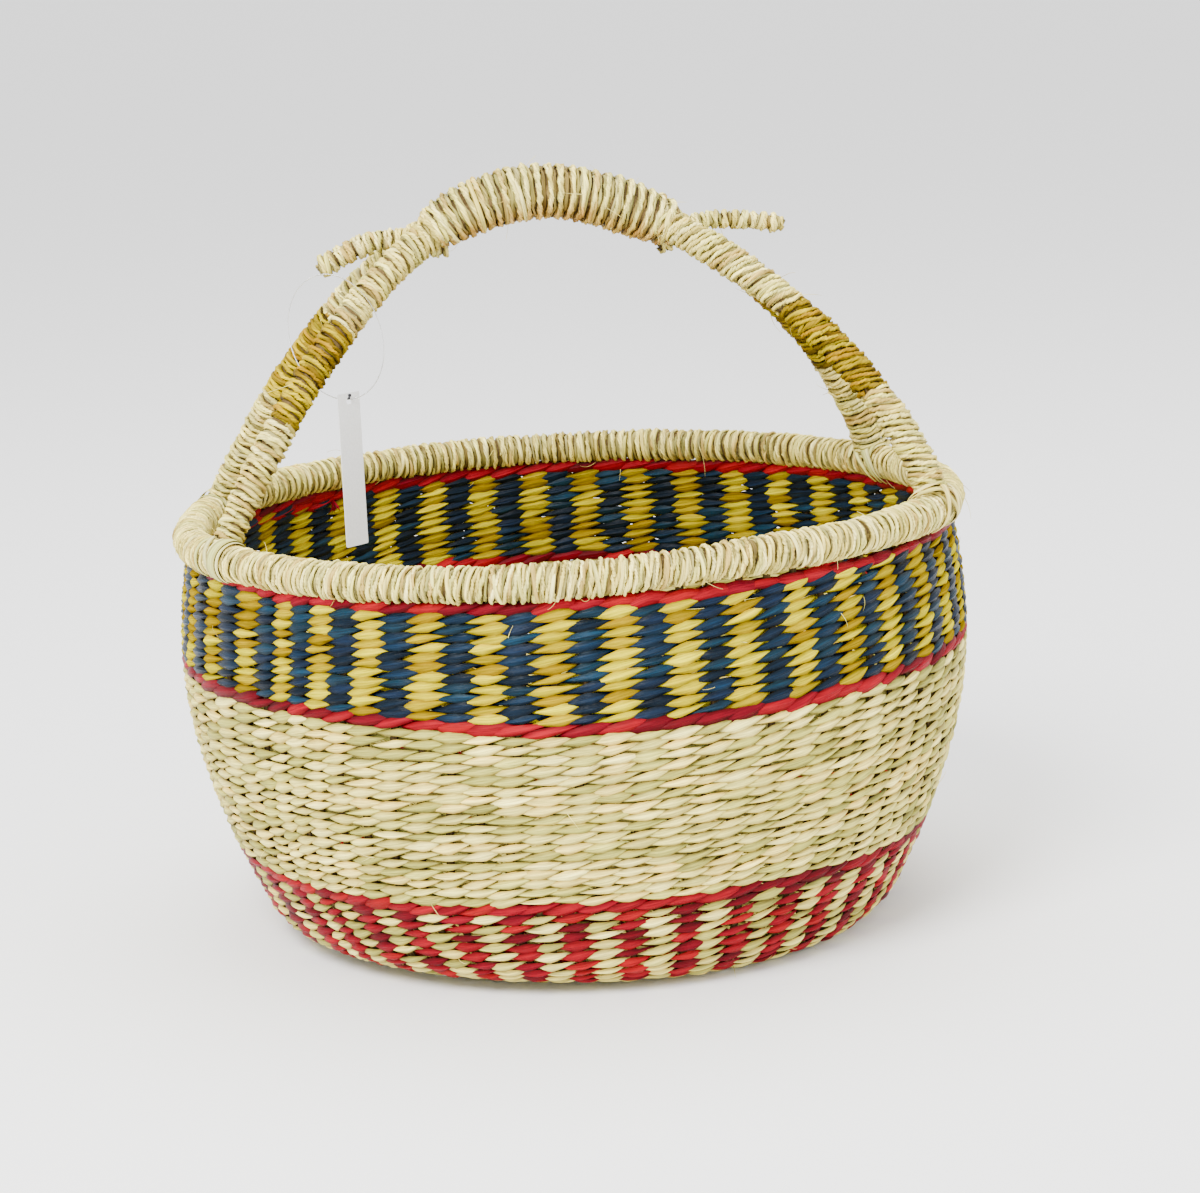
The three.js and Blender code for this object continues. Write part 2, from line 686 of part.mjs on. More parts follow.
function horn(end, length, tipHeight) {
  const gripEnd = end === LEFT ? grip[0] : grip[grip.length - 1];
  const beside = end === LEFT ? grip[1] : grip[grip.length - 2];
  const outward = gripEnd.clone().sub(beside).normalize();
  const faceUp = new THREE.Vector3().crossVectors(outward, ACROSS).multiplyScalar(-end).normalize();
  const root = gripEnd.clone().addScaledVector(faceUp, HORN_ROOT_RISE);
  const drop = tipHeight - root.z;
  const run = Math.sqrt(length * length - drop * drop);
  const direction = new THREE.Vector3(end * run, 0, drop).normalize();
  const tilt = direction.angleTo(outward);
  const outerRadius = HORN_CORE_RADIUS + CLEARANCE + HORN_STRIP_THICKNESS;
  const seatAt = (radius) => CLEARANCE + radius * Math.tan(tilt);
  const start = root.clone().addScaledVector(direction, seatAt(HORN_CORE_RADIUS));
  const coreRadiusAt = (distance) => {
    const left = Math.min(1, (length - distance) / HORN_TAPER_LENGTH);
    return HORN_TIP_RADIUS + (HORN_CORE_RADIUS - HORN_TIP_RADIUS) * Math.sqrt(left);
  };

  const coreStops = [0, length - HORN_TAPER_LENGTH, length - HORN_TAPER_LENGTH / 2, length];
  const coreLine = coreStops.map((stop) => start.clone().addScaledVector(direction, stop));
  const core = sweep(coreLine, ACROSS, (i) => roundSection(coreRadiusAt(coreStops[i])));

  const up = new THREE.Vector3().crossVectors(ACROSS, direction).normalize();
  const steps = HORN_TURNS * HORN_STEPS_PER_TURN;
  const firstEdge = seatAt(outerRadius) - seatAt(HORN_CORE_RADIUS);
  const boundLength = length - firstEdge - HORN_STRIP_WIDTH;
  const standOff = CLEARANCE + HORN_STRIP_THICKNESS / 2;
  const chordSlack = 1 / Math.cos(Math.PI / HORN_STEPS_PER_TURN);
  const points = [];
  const radials = [];
  for (let i = 0; i <= steps; i += 1) {
    const turn = (2 * Math.PI * i) / HORN_STEPS_PER_TURN;
    const distance = firstEdge + HORN_STRIP_WIDTH / 2 + (boundLength * i) / steps;
    const radial = ACROSS.clone().multiplyScalar(Math.cos(turn)).addScaledVector(up, Math.sin(turn));
    const radius = (coreRadiusAt(distance) + standOff) * chordSlack;
    points.push(start.clone().addScaledVector(direction, distance).addScaledVector(radial, radius));
    radials.push(direction);
  }
  const strip = sweep(points, radials, () => flatSection(HORN_STRIP_THICKNESS, HORN_STRIP_WIDTH));
  return { core, strip, points };
}

for (const [name, end, length, tipHeight] of [
  ['left', LEFT, LEFT_HORN_LENGTH, HANDLE_CROWN_HEIGHT - LEFT_HORN_TIP_DROP],
  ['right', RIGHT, RIGHT_HORN_LENGTH, HANDLE_CROWN_HEIGHT - RIGHT_HORN_TIP_DROP],
]) {
  const { core, strip, points } = horn(end, length, tipHeight);
  addMesh(`${name}_horn_core`, core, 'core');
  addMesh(`${name}_horn_binding`, strip, 'natural');
  printLeastGap(`${name}_horn_binding`, points, HORN_STEPS_PER_TURN, HORN_STRIP_WIDTH);
}

// Lashings: turns around the rim on both sides of a foot, joined by a crossing under it.
// The turns pass down between the stakes.

function lashing(angle, stepBefore, stepAfter) {
  const half = LASHING_TURNS / 2;
  const nearest = LEG_RADIUS + CLEARANCE + LASHING_STRIP_WIDTH / 2 + LASHING_SIDE_ROOM;
  const chordSlack = 1 / Math.cos(Math.PI / LASHING_STEPS_PER_TURN);
  const radius = (RIM_TUBE_RADIUS + CLEARANCE + LASHING_STRIP_THICKNESS / 2) * chordSlack;
  const offsetAt = (turn) => {
    const fromMiddle = turn - half;
    const crossed = Math.min(1, Math.abs(fromMiddle) / LASHING_CROSSING);
    const beyond = Math.max(0, Math.abs(fromMiddle) - LASHING_CROSSING);
    return Math.sign(fromMiddle) * (nearest * crossed + LASHING_PITCH * beyond);
  };
  const foot = rimPoint(angle);
  const first = LASHING_END_TRIM;
  const last = LASHING_TURNS - LASHING_END_TRIM;
  const steps = Math.round((last - first) * LASHING_STEPS_PER_TURN);
  const points = [];
  const references = [];
  for (let i = 0; i <= steps; i += 1) {
    const turn = first + ((last - first) * i) / steps;
    const around = 2 * Math.PI * turn - Math.PI / 2;
    const offset = offsetAt(turn);
    const step = offset < 0 ? -stepBefore : stepAfter;
    const along = rimPoint(angle + step).sub(foot).normalize();
    const bend = angle + (step / 2) * Math.min(1, Math.abs(offset) / nearest);
    const outward = new THREE.Vector3(Math.cos(bend), Math.sin(bend), 0);
    const radial = outward.multiplyScalar(Math.cos(around)).addScaledVector(UP, Math.sin(around));
    points.push(foot.clone().addScaledVector(along, Math.abs(offset)).addScaledVector(radial, radius));
    references.push(new THREE.Vector3(-Math.sin(bend), Math.cos(bend), 0));
  }
  const strip = sweep(points, references, () => flatSection(LASHING_STRIP_THICKNESS, LASHING_STRIP_WIDTH));
  return { strip, points };
}

const leftStep = (2 * leftFoot) / RIM_SHORT_STEPS;
const rightStep = (2 * rightFoot) / RIM_SHORT_STEPS;
const longStep = (Math.PI - leftFoot - rightFoot) / RIM_LONG_STEPS;
for (const [name, angle, stepBefore, stepAfter] of [
  ['back_right', rightFoot, rightStep, longStep],
  ['back_left', Math.PI - leftFoot, longStep, leftStep],
  ['front_left', Math.PI + leftFoot, leftStep, longStep],
  ['front_right', 2 * Math.PI - rightFoot, longStep, rightStep],
]) {
  const { strip, points } = lashing(angle, stepBefore, stepAfter);
  addMesh(`${name}_lashing`, strip, 'greenGrass');
  printLeastGap(`${name}_lashing`, points, LASHING_STEPS_PER_TURN, LASHING_STRIP_WIDTH);
}

// Tag: a stiff clear loop around the front left leg, and a blank card that hangs from it

function tagSeat() {
  const leg = archLine(FRONT);
  const stop = stopWhere(leg, (point) => point.z, HANDLE_CROWN_HEIGHT - TAG_DROP);
  const [before] = stretch(leg, stop - TAG_SEAT_LENGTH, stop);
  const [seat] = stretch(leg, stop, stop + TAG_SEAT_LENGTH);
  const [after] = stretch(leg, stop + TAG_SEAT_LENGTH, stop + 2 * TAG_SEAT_LENGTH);
  const axis = after.clone().sub(before).normalize();
  const level = new THREE.Vector3(axis.x, axis.y, 0).normalize();
  const sideways = new THREE.Vector3(level.y, -level.x, 0);
  return { seat, axis, level, sideways };
}

const tag = tagSeat();
const legSlope = Math.atan2(tag.axis.z, Math.hypot(tag.axis.x, tag.axis.y));
const loopLean = THREE.MathUtils.degToRad(TAG_LOOP_LEAN);
const loopUp = UP.clone().multiplyScalar(Math.cos(loopLean)).addScaledVector(tag.level, -Math.sin(loopLean));
const crossing = Math.atan2(
  (Math.sin(legSlope) / Math.cos(loopLean)) * TAG_LOOP_HALF_WIDTH,
  (Math.cos(legSlope) + Math.sin(legSlope) * Math.tan(loopLean)) * TAG_LOOP_HALF_HEIGHT,
);
const loopBow = (LEG_RADIUS + TAG_FILAMENT_RADIUS + TAG_LOOP_ROOM) / Math.cos(crossing);
const loopLine = Array.from({ length: TAG_LOOP_STEPS }, (_, k) => {
  const turn = (2 * Math.PI * k) / TAG_LOOP_STEPS;
  return tag.seat.clone()
    .addScaledVector(tag.level, TAG_LOOP_HALF_WIDTH * Math.cos(turn))
    .addScaledVector(tag.sideways, loopBow * Math.cos(turn))
    .addScaledVector(loopUp, TAG_LOOP_HALF_HEIGHT * Math.sin(turn));
});
addMesh('tag_loop', tube(loopLine, tag.sideways, TAG_FILAMENT_RADIUS, TAG_LOOP_SIDES, true), 'filament');

function card() {
  const shape = new THREE.Shape();
  const top = CARD_HOLE_INSET;
  const bottom = CARD_HOLE_INSET - CARD_LENGTH;
  shape.moveTo(-CARD_WIDTH / 2, bottom);
  shape.lineTo(CARD_WIDTH / 2, bottom);
  shape.lineTo(CARD_WIDTH / 2, top);
  shape.lineTo(-CARD_WIDTH / 2, top);
  shape.closePath();
  const hole = new THREE.Path();
  hole.absarc(0, 0, CARD_HOLE_RADIUS, 0, 2 * Math.PI, true);
  shape.holes.push(hole);
  const plate = new THREE.ExtrudeGeometry(shape, {
    depth: CARD_THICKNESS,
    bevelEnabled: false,
    curveSegments: 6,
  });
  plate.translate(0, 0, -CARD_THICKNESS / 2);
  return plate;
}

const loopLow = tag.seat.clone().addScaledVector(loopUp, -TAG_LOOP_HALF_HEIGHT);
const holeDrop = CARD_HOLE_RADIUS - TAG_FILAMENT_RADIUS - CLEARANCE - CARD_THICKNESS / 2;
const cardMesh = addMesh('tag_card', card(), 'paper');
cardMesh.rotation.set(Math.PI / 2, 0, THREE.MathUtils.degToRad(CARD_FACING + 90), 'ZXY');
cardMesh.position.copy(loopLow).addScaledVector(UP, -holeDrop);

const show = (vector) => vector.toArray().map((value) => value.toFixed(3)).join(', ');
console.log(`tag loop seat ${show(tag.seat)} axis ${show(tag.axis)}; card hangs at ${show(loopLow)}`);

export default group;
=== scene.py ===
"""The looks of the round market basket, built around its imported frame.

The shapes are worked out in millimetres in the frame of the part, where Z is up, X runs along the
handle and the front is at -Y. Every strand of grass is a mesh of its own, swept along its real path.
"""

import json
import math

import bmesh
import bpy
import numpy as np
from mathutils import Matrix, Vector
from mathutils.geometry import tessellate_polygon


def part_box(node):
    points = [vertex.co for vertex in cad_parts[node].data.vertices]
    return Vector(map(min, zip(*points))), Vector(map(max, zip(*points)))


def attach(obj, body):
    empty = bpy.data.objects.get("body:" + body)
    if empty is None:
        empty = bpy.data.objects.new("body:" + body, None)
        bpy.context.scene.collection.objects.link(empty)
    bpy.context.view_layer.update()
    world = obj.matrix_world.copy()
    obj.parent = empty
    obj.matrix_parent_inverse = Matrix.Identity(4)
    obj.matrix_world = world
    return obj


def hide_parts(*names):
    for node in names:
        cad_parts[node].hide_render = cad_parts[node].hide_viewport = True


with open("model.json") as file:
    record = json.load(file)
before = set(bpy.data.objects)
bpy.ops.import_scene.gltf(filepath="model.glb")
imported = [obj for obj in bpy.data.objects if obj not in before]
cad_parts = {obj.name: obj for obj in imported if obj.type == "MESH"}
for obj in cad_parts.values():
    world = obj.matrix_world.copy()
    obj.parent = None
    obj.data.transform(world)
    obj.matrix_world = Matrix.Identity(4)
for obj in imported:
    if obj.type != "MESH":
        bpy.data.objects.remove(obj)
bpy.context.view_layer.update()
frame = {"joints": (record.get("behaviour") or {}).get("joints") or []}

MM = 0.001
TURN = 2 * math.pi
BASKET = "basket"
rng = np.random.default_rng(41)

# Camera, as the photograph was taken
IMAGE_WIDTH = 1200
FOCAL_PIXELS = 3315.45
SENSOR_WIDTH = 36
CAMERA_PLACE = (-176.8, -1664.8, 518.5)
CAMERA_HEADING = -6.54
CAMERA_DROP = 12.02
CAMERA_ROLL = 2.654

# Bowl
STAKES = 82
FIRST_STAKE = math.radians(-98.9)
STAKE_STEP = TURN / STAKES
STAKE_RUN_START = 60
STAKE_OVERRUN = 6
STAKE_POINTS = 46
STAKE_HALF_WIDTH = 2.1
STAKE_WIDTH_BY_RADIUS = 0.034
STAKE_HALF_THICKNESS = 1.05
STAKE_LEAN = math.radians(3.5)
STAKE_LEAN_FROM = 172
STAKE_LEAN_TO = 25
SIDE_LEAN = [(0, 3), (49, -2.5), (144, 0)]
SIDE_LEAN_PLACE = math.radians(215)
UNEVEN_STAKES = math.radians(3.3)
UNEVEN_PLACE = math.radians(-149)
UNEVEN_WIDTH = math.radians(12)
WALL_OUTLINE = [
    (0, 0), (60, 0), (112, 0), (139, 1.4), (151, 3.4), (159.3, 8.5), (165.3, 15.5), (169.5, 24.8), (175, 36.2),
    (182.2, 53), (189.6, 74), (196.2, 98), (200.4, 121), (201.9, 144), (201.2, 162), (199.2, 182), (196, 201.5),
]
FOOT_PLACE = 3
OUTLINE_STEPS = 24
WALL_THICKNESS = 7.0
LOWER_RED_HEIGHT = 49
UPPER_RED_HEIGHT = 144
TOP_RED_HEIGHT = 199.6
LOWER_ROWS = 11
FOOT_ROWS = 2
MIDDLE_ROWS = 18
UPPER_ROWS = 11

# Weft. A strand shows as leaves, one for each stake that it passes: pointed, with its ends tucked under.
LEAF_REACH = 0.86
LEAF_RISE = 2.4
LEAF_HALF_WIDTH = 2.68
LEAF_HALF_THICKNESS = 1.05
LEAF_TAPER = 1.08
LOWER_FULLNESS = 1.1
LEAF_SKEW = 0.32
LEAF_TIP = 0.14
LEAF_STEPS = 12
LEAF_DEPTH = 0.95
LEAF_DIVE = 2.5
LEAST_HEIGHT = 0.03
# How much leaves differ in rise, place, bow, width, thickness and depth
LEAF_UNEVENNESS = np.array([0.22, 0.22, 0.35, 0.16, 0.1, 0.12])
ROPE_REACH = 1.0
ROPE_RISE = 3.2
ROPE_HALF_WIDTH = 2.75
ROPE_TAPER = 1.9
RED_TAIL_SPAN = 128, 160
RED_TAIL_DROP = 4.4
RED_TAIL_FIBRES = 5
RED_TAIL_REACH = 9
WANDER_FROM = 8

# Base: rings of rows with fewer stakes towards the middle, and a knot of crossing blades in it
BASE_EDGE = 1.3
BASE_TOP = 1.2
BASE_LIFT = 0.9
BASE_PITCH = 5.2
BASE_ZONES = [(98, STAKES), (50, STAKES // 2 + 1), (22, 20), (6, 8)]
BASE_SPLIT = 104
KNOT_BLADES = 7
KNOT_REACH = 9
KNOT_INSET = 1.6
KNOT_HALF_WIDTH = 2.2
KNOT_HALF_THICKNESS = 0.7

# Rim
RIM_RADIUS = 193
RIM_HEIGHT = 210.5
RIM_TUBE_RADIUS = 8.8
RIM_CORE_INSET = 0.9
RIM_CORE_STEPS = 240

# How far the handmade rows and the rim rise above their mean height: degrees around and millimetres
LOWER_RED_DRIFT = [(0, 0), (200, -1.5), (232, -1.5), (254, 1.5), (281, 1.5), (300, 2), (325, -2)]
FOOT_DRIFT = [(0, 0), (180, 0), (215, 2.6), (248, 2.6), (264, 1.4), (280, 0), (300, -1.4), (325, -1.6), (345, 0)]
FOOT_DRIFT_SPAN = [-8, 12, 32]
UPPER_RED_DRIFT = [(0, 0), (180, 1), (219, 3), (240, 1.5), (256, -1.5), (280, -1), (296, 0.5), (316, 1)]
TOP_RED_DRIFT = [(0, 1), (60, -1), (130, -1.5), (165, 0), (185, 1.5), (206, 1.5), (220, 0), (235, -1), (255, 0.5),
                 (281, 2.2), (300, 4.5), (320, 5), (340, 3)]
RIM_DRIFT = [(0, 0), (32, -1.5), (60, -1.5), (100, -2), (150, -2), (180, -4.5), (208, -1), (232, -1.2), (242, -0.4),
             (258, -0.4), (276, 2.6), (290, 4.8), (300, 3.7), (314, 3.8), (322, 3.4), (331, 2), (345, 0.8)]

# Handle. Each end of the arch has a foot angle, a fullness across and a squareness upwards.
FRONT, BACK = -1, 1
LEFT, RIGHT = -1, 1
SIDE_NAMES = {FRONT: "front", BACK: "back"}
END_NAMES = {LEFT: "left", RIGHT: "right"}
FEET = [(end, side) for end in (LEFT, RIGHT) for side in (FRONT, BACK)]
X, Z = 0, 2
ACROSS = (0.0, 1.0, 0.0)
FOOT_ANGLE = {LEFT: 5 * math.pi / 41, RIGHT: 6 * math.pi / 41}
BACK_RIGHT_SHIFT = math.radians(1.4)
BACK_RIGHT_OUT = 1.8
FULLNESS = {LEFT: 1.02, RIGHT: 1.2}
SQUARENESS = {LEFT: 1.92, RIGHT: 1.37}
CROWN_HEIGHT = 372
CROWN_OFFSET = -7.5
LEG_RADIUS = 8.0
LEG_RADIUS_AT_FOOT = {(LEFT, FRONT): 7.3, (LEFT, BACK): 7.3, (RIGHT, FRONT): 8.0, (RIGHT, BACK): 10.0}
LEG_TAPER_HEIGHT = 90
CORE_RADIUS_AT_FOOT = 5.4
GRIP_MIDDLE = -1.5
GRIP_HALF_LENGTH = 62
GRIP_HALF_SPACING = 9
GRIP_HALF_HEIGHT = 13.9
GRIP_END_HALF_HEIGHT = 8.8
SPLAY_START = 50
SPLAY_EASE = 0.12
GOLD_TOP = 312
GOLD_BOTTOM = 270
HEAD_START = 5
HEAD_OVERLAP = 8
ARCH_STEPS = 240
CORE_STEPS = 60
LEG_CORE_INSET = 1.9
GRIP_CORE_INSET = 1.1
LEG_LEAN = {(LEFT, FRONT): -0.6, (LEFT, BACK): 0.6, (RIGHT, FRONT): -3.2, (RIGHT, BACK): 0.4}

# Horns
HORN_LENGTH = {LEFT: 60, RIGHT: 59}
HORN_ROOT_RISE = 9
HORN_TIP_HEIGHT = {LEFT: 340, RIGHT: 349}
HORN_BOW = 8
HORN_BOW_EARLY = {LEFT: 1, RIGHT: 0.62}
HORN_RADIUS = {LEFT: 4.7, RIGHT: 3.7}
HORN_ROUNDING = 3.4
HORN_SPAN = -0.06, 1.03
HORN_CORE_SHARE = 0.82

# Windings: the run of a turn, the steps in it, the strand's half width and half thickness, the run in which
# it turns over, how far its turns tilt and cross, its kinks in a turn and the run between blades laid over it
PIECE_LENGTH = 8
BLADE_LENGTH = 32
UNDER_LIFT = -0.9
UNDER_WIDTH = 1.12
UNDER_THICKNESS = 0.8
UNDER_TWIST = 3
UNDER_SHADE = 0.4
OVER_TRAVEL = 5
OVER_WIDTH = 0.8
OVER_STEPS = 34
WRAP_SLOTS = {"straw": "wrapping_straw", "gold": "golden_straw"}
RIM_WINDING = dict(pitch=2.5, steps=30, strand=(1.36, 0.9), twist=17, tilt=0.8, cross=1.4)
LEG_WINDING = dict(pitch=3.2, steps=28, strand=(1.62, 1.1), twist=15, cross=0.8, cross_at=math.pi / 2, crossings=16)
# On the grip, the underside colour is painted shade, taken where the strand faces downward.
GRIP_WINDING = dict(pitch=2.8, steps=60, strand=(1.5, 0.95), twist=16, tilt=0.8, cross=1.5, kinks=10,
                    underside_shade=(0.86, 0.64, 0.5), crossings=12)
HORN_WINDING = dict(pitch=2.5, steps=20, strand=(1.4, 0.95), twist=11, tilt=0.5, cross=0.8, crossings=9)

# Lashings: routes of the blades by foot, with the place along the rim, the angle around its tube, the lift
# and the half width
SIDE_BLADES = [
    ([(-8.5, 170, 0.2), (-9.5, 90, 0.4), (-9, 20, 0.3), (-8, -80, 0.2)], 1.9),
    ([(9, 170, 0.2), (9.5, 90, 0.4), (9, 20, 0.3), (9, -80, 0.2)], 1.9),
]
LASHING_ROUTES = {
    (LEFT, FRONT): [
        ([(-9, 150, 0.4), (-11, 112, 1.8), (-12, 66, 2.2), (-11, 26, 1.6), (-10.5, -18, 1.2), (-10, -60, 0.8),
          (-10, -95, 0.3)], 4.1),
        ([(-16, 150, 0.3), (-16, 90, 0.8), (-16.5, 20, 0.8), (-15, -70, 0.4)], 1.7),
        ([(-5, 150, 0.4), (-5, 95, 1.4), (-6, 40, 1.0), (-5, -70, 0.4)], 1.5),
        ([(10, 150, 0.3), (4, 95, 2.0), (-2, 50, 2.0), (-6, 0, 0.9), (-7, -70, 0.3)], 1.8),
    ],
    (RIGHT, FRONT): [
        ([(-22, 150, 0.4), (-20, 108, 2.6), (-5, 88, 4.6), (8, 62, 3.2), (4, 14, 1.6), (7, -38, 1.0), (4, -85, 0.3)],
         2.6),
        ([(-27, 112, 0.4), (-24, 88, 2.0), (-8, 70, 3.6), (-5, 28, 2.0), (3, -10, 1.3), (10, -40, 1.0),
          (8, -85, 0.3)], 2.3),
        ([(12, 150, 0.8), (7, 104, 3.8), (-3, 70, 4.4), (-11, 32, 2.2), (-15, -15, 1.0), (-17, -75, 0.3)], 2.2),
        ([(13, 150, 0.4), (14, 90, 1.4), (13, 20, 1.0), (12, -80, 0.3)], 2.2),
    ],
    (RIGHT, BACK): [
        ([(-7, 60, 0.4), (-4, 96, 1.8), (3, 136, 1.6), (12, 172, 1.2), (15, 215, 0.8), (15, 250, 1.6)], 1.7),
        ([(-2, 60, 0.4), (0, 100, 1.8), (9, 142, 1.6), (17, 180, 1.2), (20, 222, 0.8), (21, 256, 1.6)], 1.5),
        ([(-9, 60, 0.3), (-8, 110, 0.8), (-2, 150, 1.0), (7, 190, 0.8), (9, 235, 0.8), (8, 262, 1.8)], 1.4),
        ([(9, 40, 0.3), (8, 100, 1.2), (11, 150, 0.8), (12, 230, 0.3)], 1.6),
    ],
    (LEFT, BACK): [
        ([(-5, 160, 0.4), (-4, 96, 1.8), (-3, 60, 1.8), (0, 20, 1.2), (2, -30, 0.8), (2, -90, 0.3)], 2.8),
        ([(9, 160, 0.3), (5, 96, 1.6), (-1, 50, 1.6), (-6, 0, 0.8), (-8, -70, 0.3)], 1.9),
    ],
}
BLADE_HALF_THICKNESS = 0.35
# Painted shade: the lashing blades' tint darkens towards their edges.
BLADE_EDGE_SHADE = (0.6, 0.5, 0.36)
ROUTE_STEPS = 40

# Tag: a clear loop around the leg and a blank card
LOOP_STEPS = 96
LOOP_HALF_WIDTH = 20
LOOP_HALF_HEIGHT = 32
LOOP_BOW = 11
LOOP_LEAN = math.radians(9)
FILAMENT_RADIUS = 0.25
CARD_WIDTH = 15
CARD_LENGTH = 77
CARD_THICKNESS = 0.5
CARD_CORNER = 0.7
HOLE_RADIUS = 1.8
HOLE_INSET = 4
HOLE_CORNERS = 24
LOCK_STEPS = 72
LOCK_SIZE = 0.42
LOCK_RADIUS = 0.4
LOCK_RISE = 1.6

# Loose fibres, the floor and the lamps: name, place, size and power of each
FIBRES = 150
FLOOR_HALF_SIZE = 30.0
FLOOR_SHADE = 0.9
FLOOR_ROUGHNESS = 0.9
WORLD_STRENGTH = 1.85
LAMP_TARGET = (0, 0, 0.2)
LAMPS = [
    ("key", (-1.0, -1.6, 1.9), 1.2, 135),
    ("fill", (1.6, -1.3, 1.2), 1.6, 14),
    ("top", (0.2, 0.5, 2.2), 1.6, 36),
]

# Colours of the blades of each kind of grass, as linear reflectances
PALETTES = {
    "natural": [(0.60, 0.53, 0.13), (0.68, 0.59, 0.155), (0.76, 0.67, 0.18), (0.86, 0.76, 0.23), (0.84, 0.68, 0.17),
                (0.42, 0.39, 0.08), (0.66, 0.59, 0.15), (0.35, 0.33, 0.065), (0.53, 0.49, 0.105)],
    "red": [(0.22, 0.001, 0.009), (0.17, 0.001, 0.009), (0.25, 0.002, 0.009), (0.29, 0.003, 0.007),
            (0.11, 0.001, 0.006)],
    "yellow": [(0.48, 0.40, 0.0), (0.42, 0.34, 0.0), (0.34, 0.25, 0.0), (0.56, 0.48, 0.0), (0.25, 0.165, 0.0)],
    "blue": [(0.002, 0.009, 0.022), (0.001, 0.006, 0.014), (0.002, 0.013, 0.031), (0.003, 0.017, 0.031),
             (0.003, 0.010, 0.026), (0.004, 0.024, 0.047)],
    "straw": [(0.86, 0.72, 0.205), (0.78, 0.64, 0.165), (0.94, 0.82, 0.29), (0.66, 0.53, 0.12), (0.70, 0.62, 0.15),
              (0.54, 0.38, 0.09), (0.90, 0.77, 0.23), (0.80, 0.72, 0.205)],
    "gold": [(0.33, 0.23, 0.002), (0.24, 0.155, 0.001), (0.44, 0.32, 0.003), (0.14, 0.085, 0.001),
             (0.32, 0.18, 0.002), (0.52, 0.39, 0.003)],
    "green": [(0.62, 0.60, 0.20), (0.54, 0.54, 0.16), (0.72, 0.68, 0.27)],
    # The bundled core and the stakes are painted dark, as painted shade where they show between the strands.
    "core": [(0.10, 0.065, 0.025), (0.07, 0.045, 0.017)],
}


# Meshes of swept strands

def unit(vectors):
    return vectors / np.linalg.norm(vectors, axis=-1, keepdims=True)


def circle(corners):
    """Corners of a regular polygon of radius 1."""
    turn = np.arange(corners) * TURN / corners
    return np.stack([np.cos(turn), np.sin(turn)], axis=-1)


def run_along(points):
    """How far along its line each point lies."""
    return np.concatenate([[0], np.cumsum(np.linalg.norm(np.diff(points, axis=0), axis=1))])


def read_line(places, knots, values):
    """Rows of values at places, read between those at the knots."""
    return np.stack([np.interp(places, knots, column) for column in values.T], axis=-1)


def wobble(places, count):
    """A random value at each of count whole places, read in between."""
    return np.interp(places, np.arange(count), rng.normal(0, 1, count))


SECTION = np.array([
    (1.0, 0.0), (0.72, 0.74), (0.0, 1.0), (-0.72, 0.74),
    (-1.0, 0.0), (-0.72, -0.74), (0.0, -1.0), (0.72, -0.74),
])
LEAF_SECTION = np.array([(1.0, 0.0), (0.24, 1.0), (-0.3, 0.62), (-1.0, 0.0), (-0.4, -0.6), (0.4, -0.6)])
LEAF_CREASES = (0, 1, 2, 3)
THIN_SECTION = np.array([(1.0, 0.0), (0.5, 0.85), (-0.5, 0.85), (-1.0, 0.0), (-0.5, -0.85), (0.5, -0.85)])
ROUND_SECTION = circle(12)
HAIR_SECTION = circle(4)
EVEN_EDGE = (1, 1, 1)
# Painted shade: a strand's tint darkens towards the edges of its section, where it tucks against its neighbours.
STRAND_EDGE_SHADE = (0.46, 0.36, 0.22)
# Painted shade: the tint of a winding darkens towards the side turned in, into the crevices between its turns.
GROOVE_SHADE = (0.10, 0.065, 0.03)
CELL_MARGIN = 0.04
CELL_STEPS = 48


def along_line(points, closed):
    """Unit tangents of a line of points."""
    if closed:
        return unit(np.roll(points, -1, axis=0) - np.roll(points, 1, axis=0))
    return unit(np.gradient(points, axis=0))


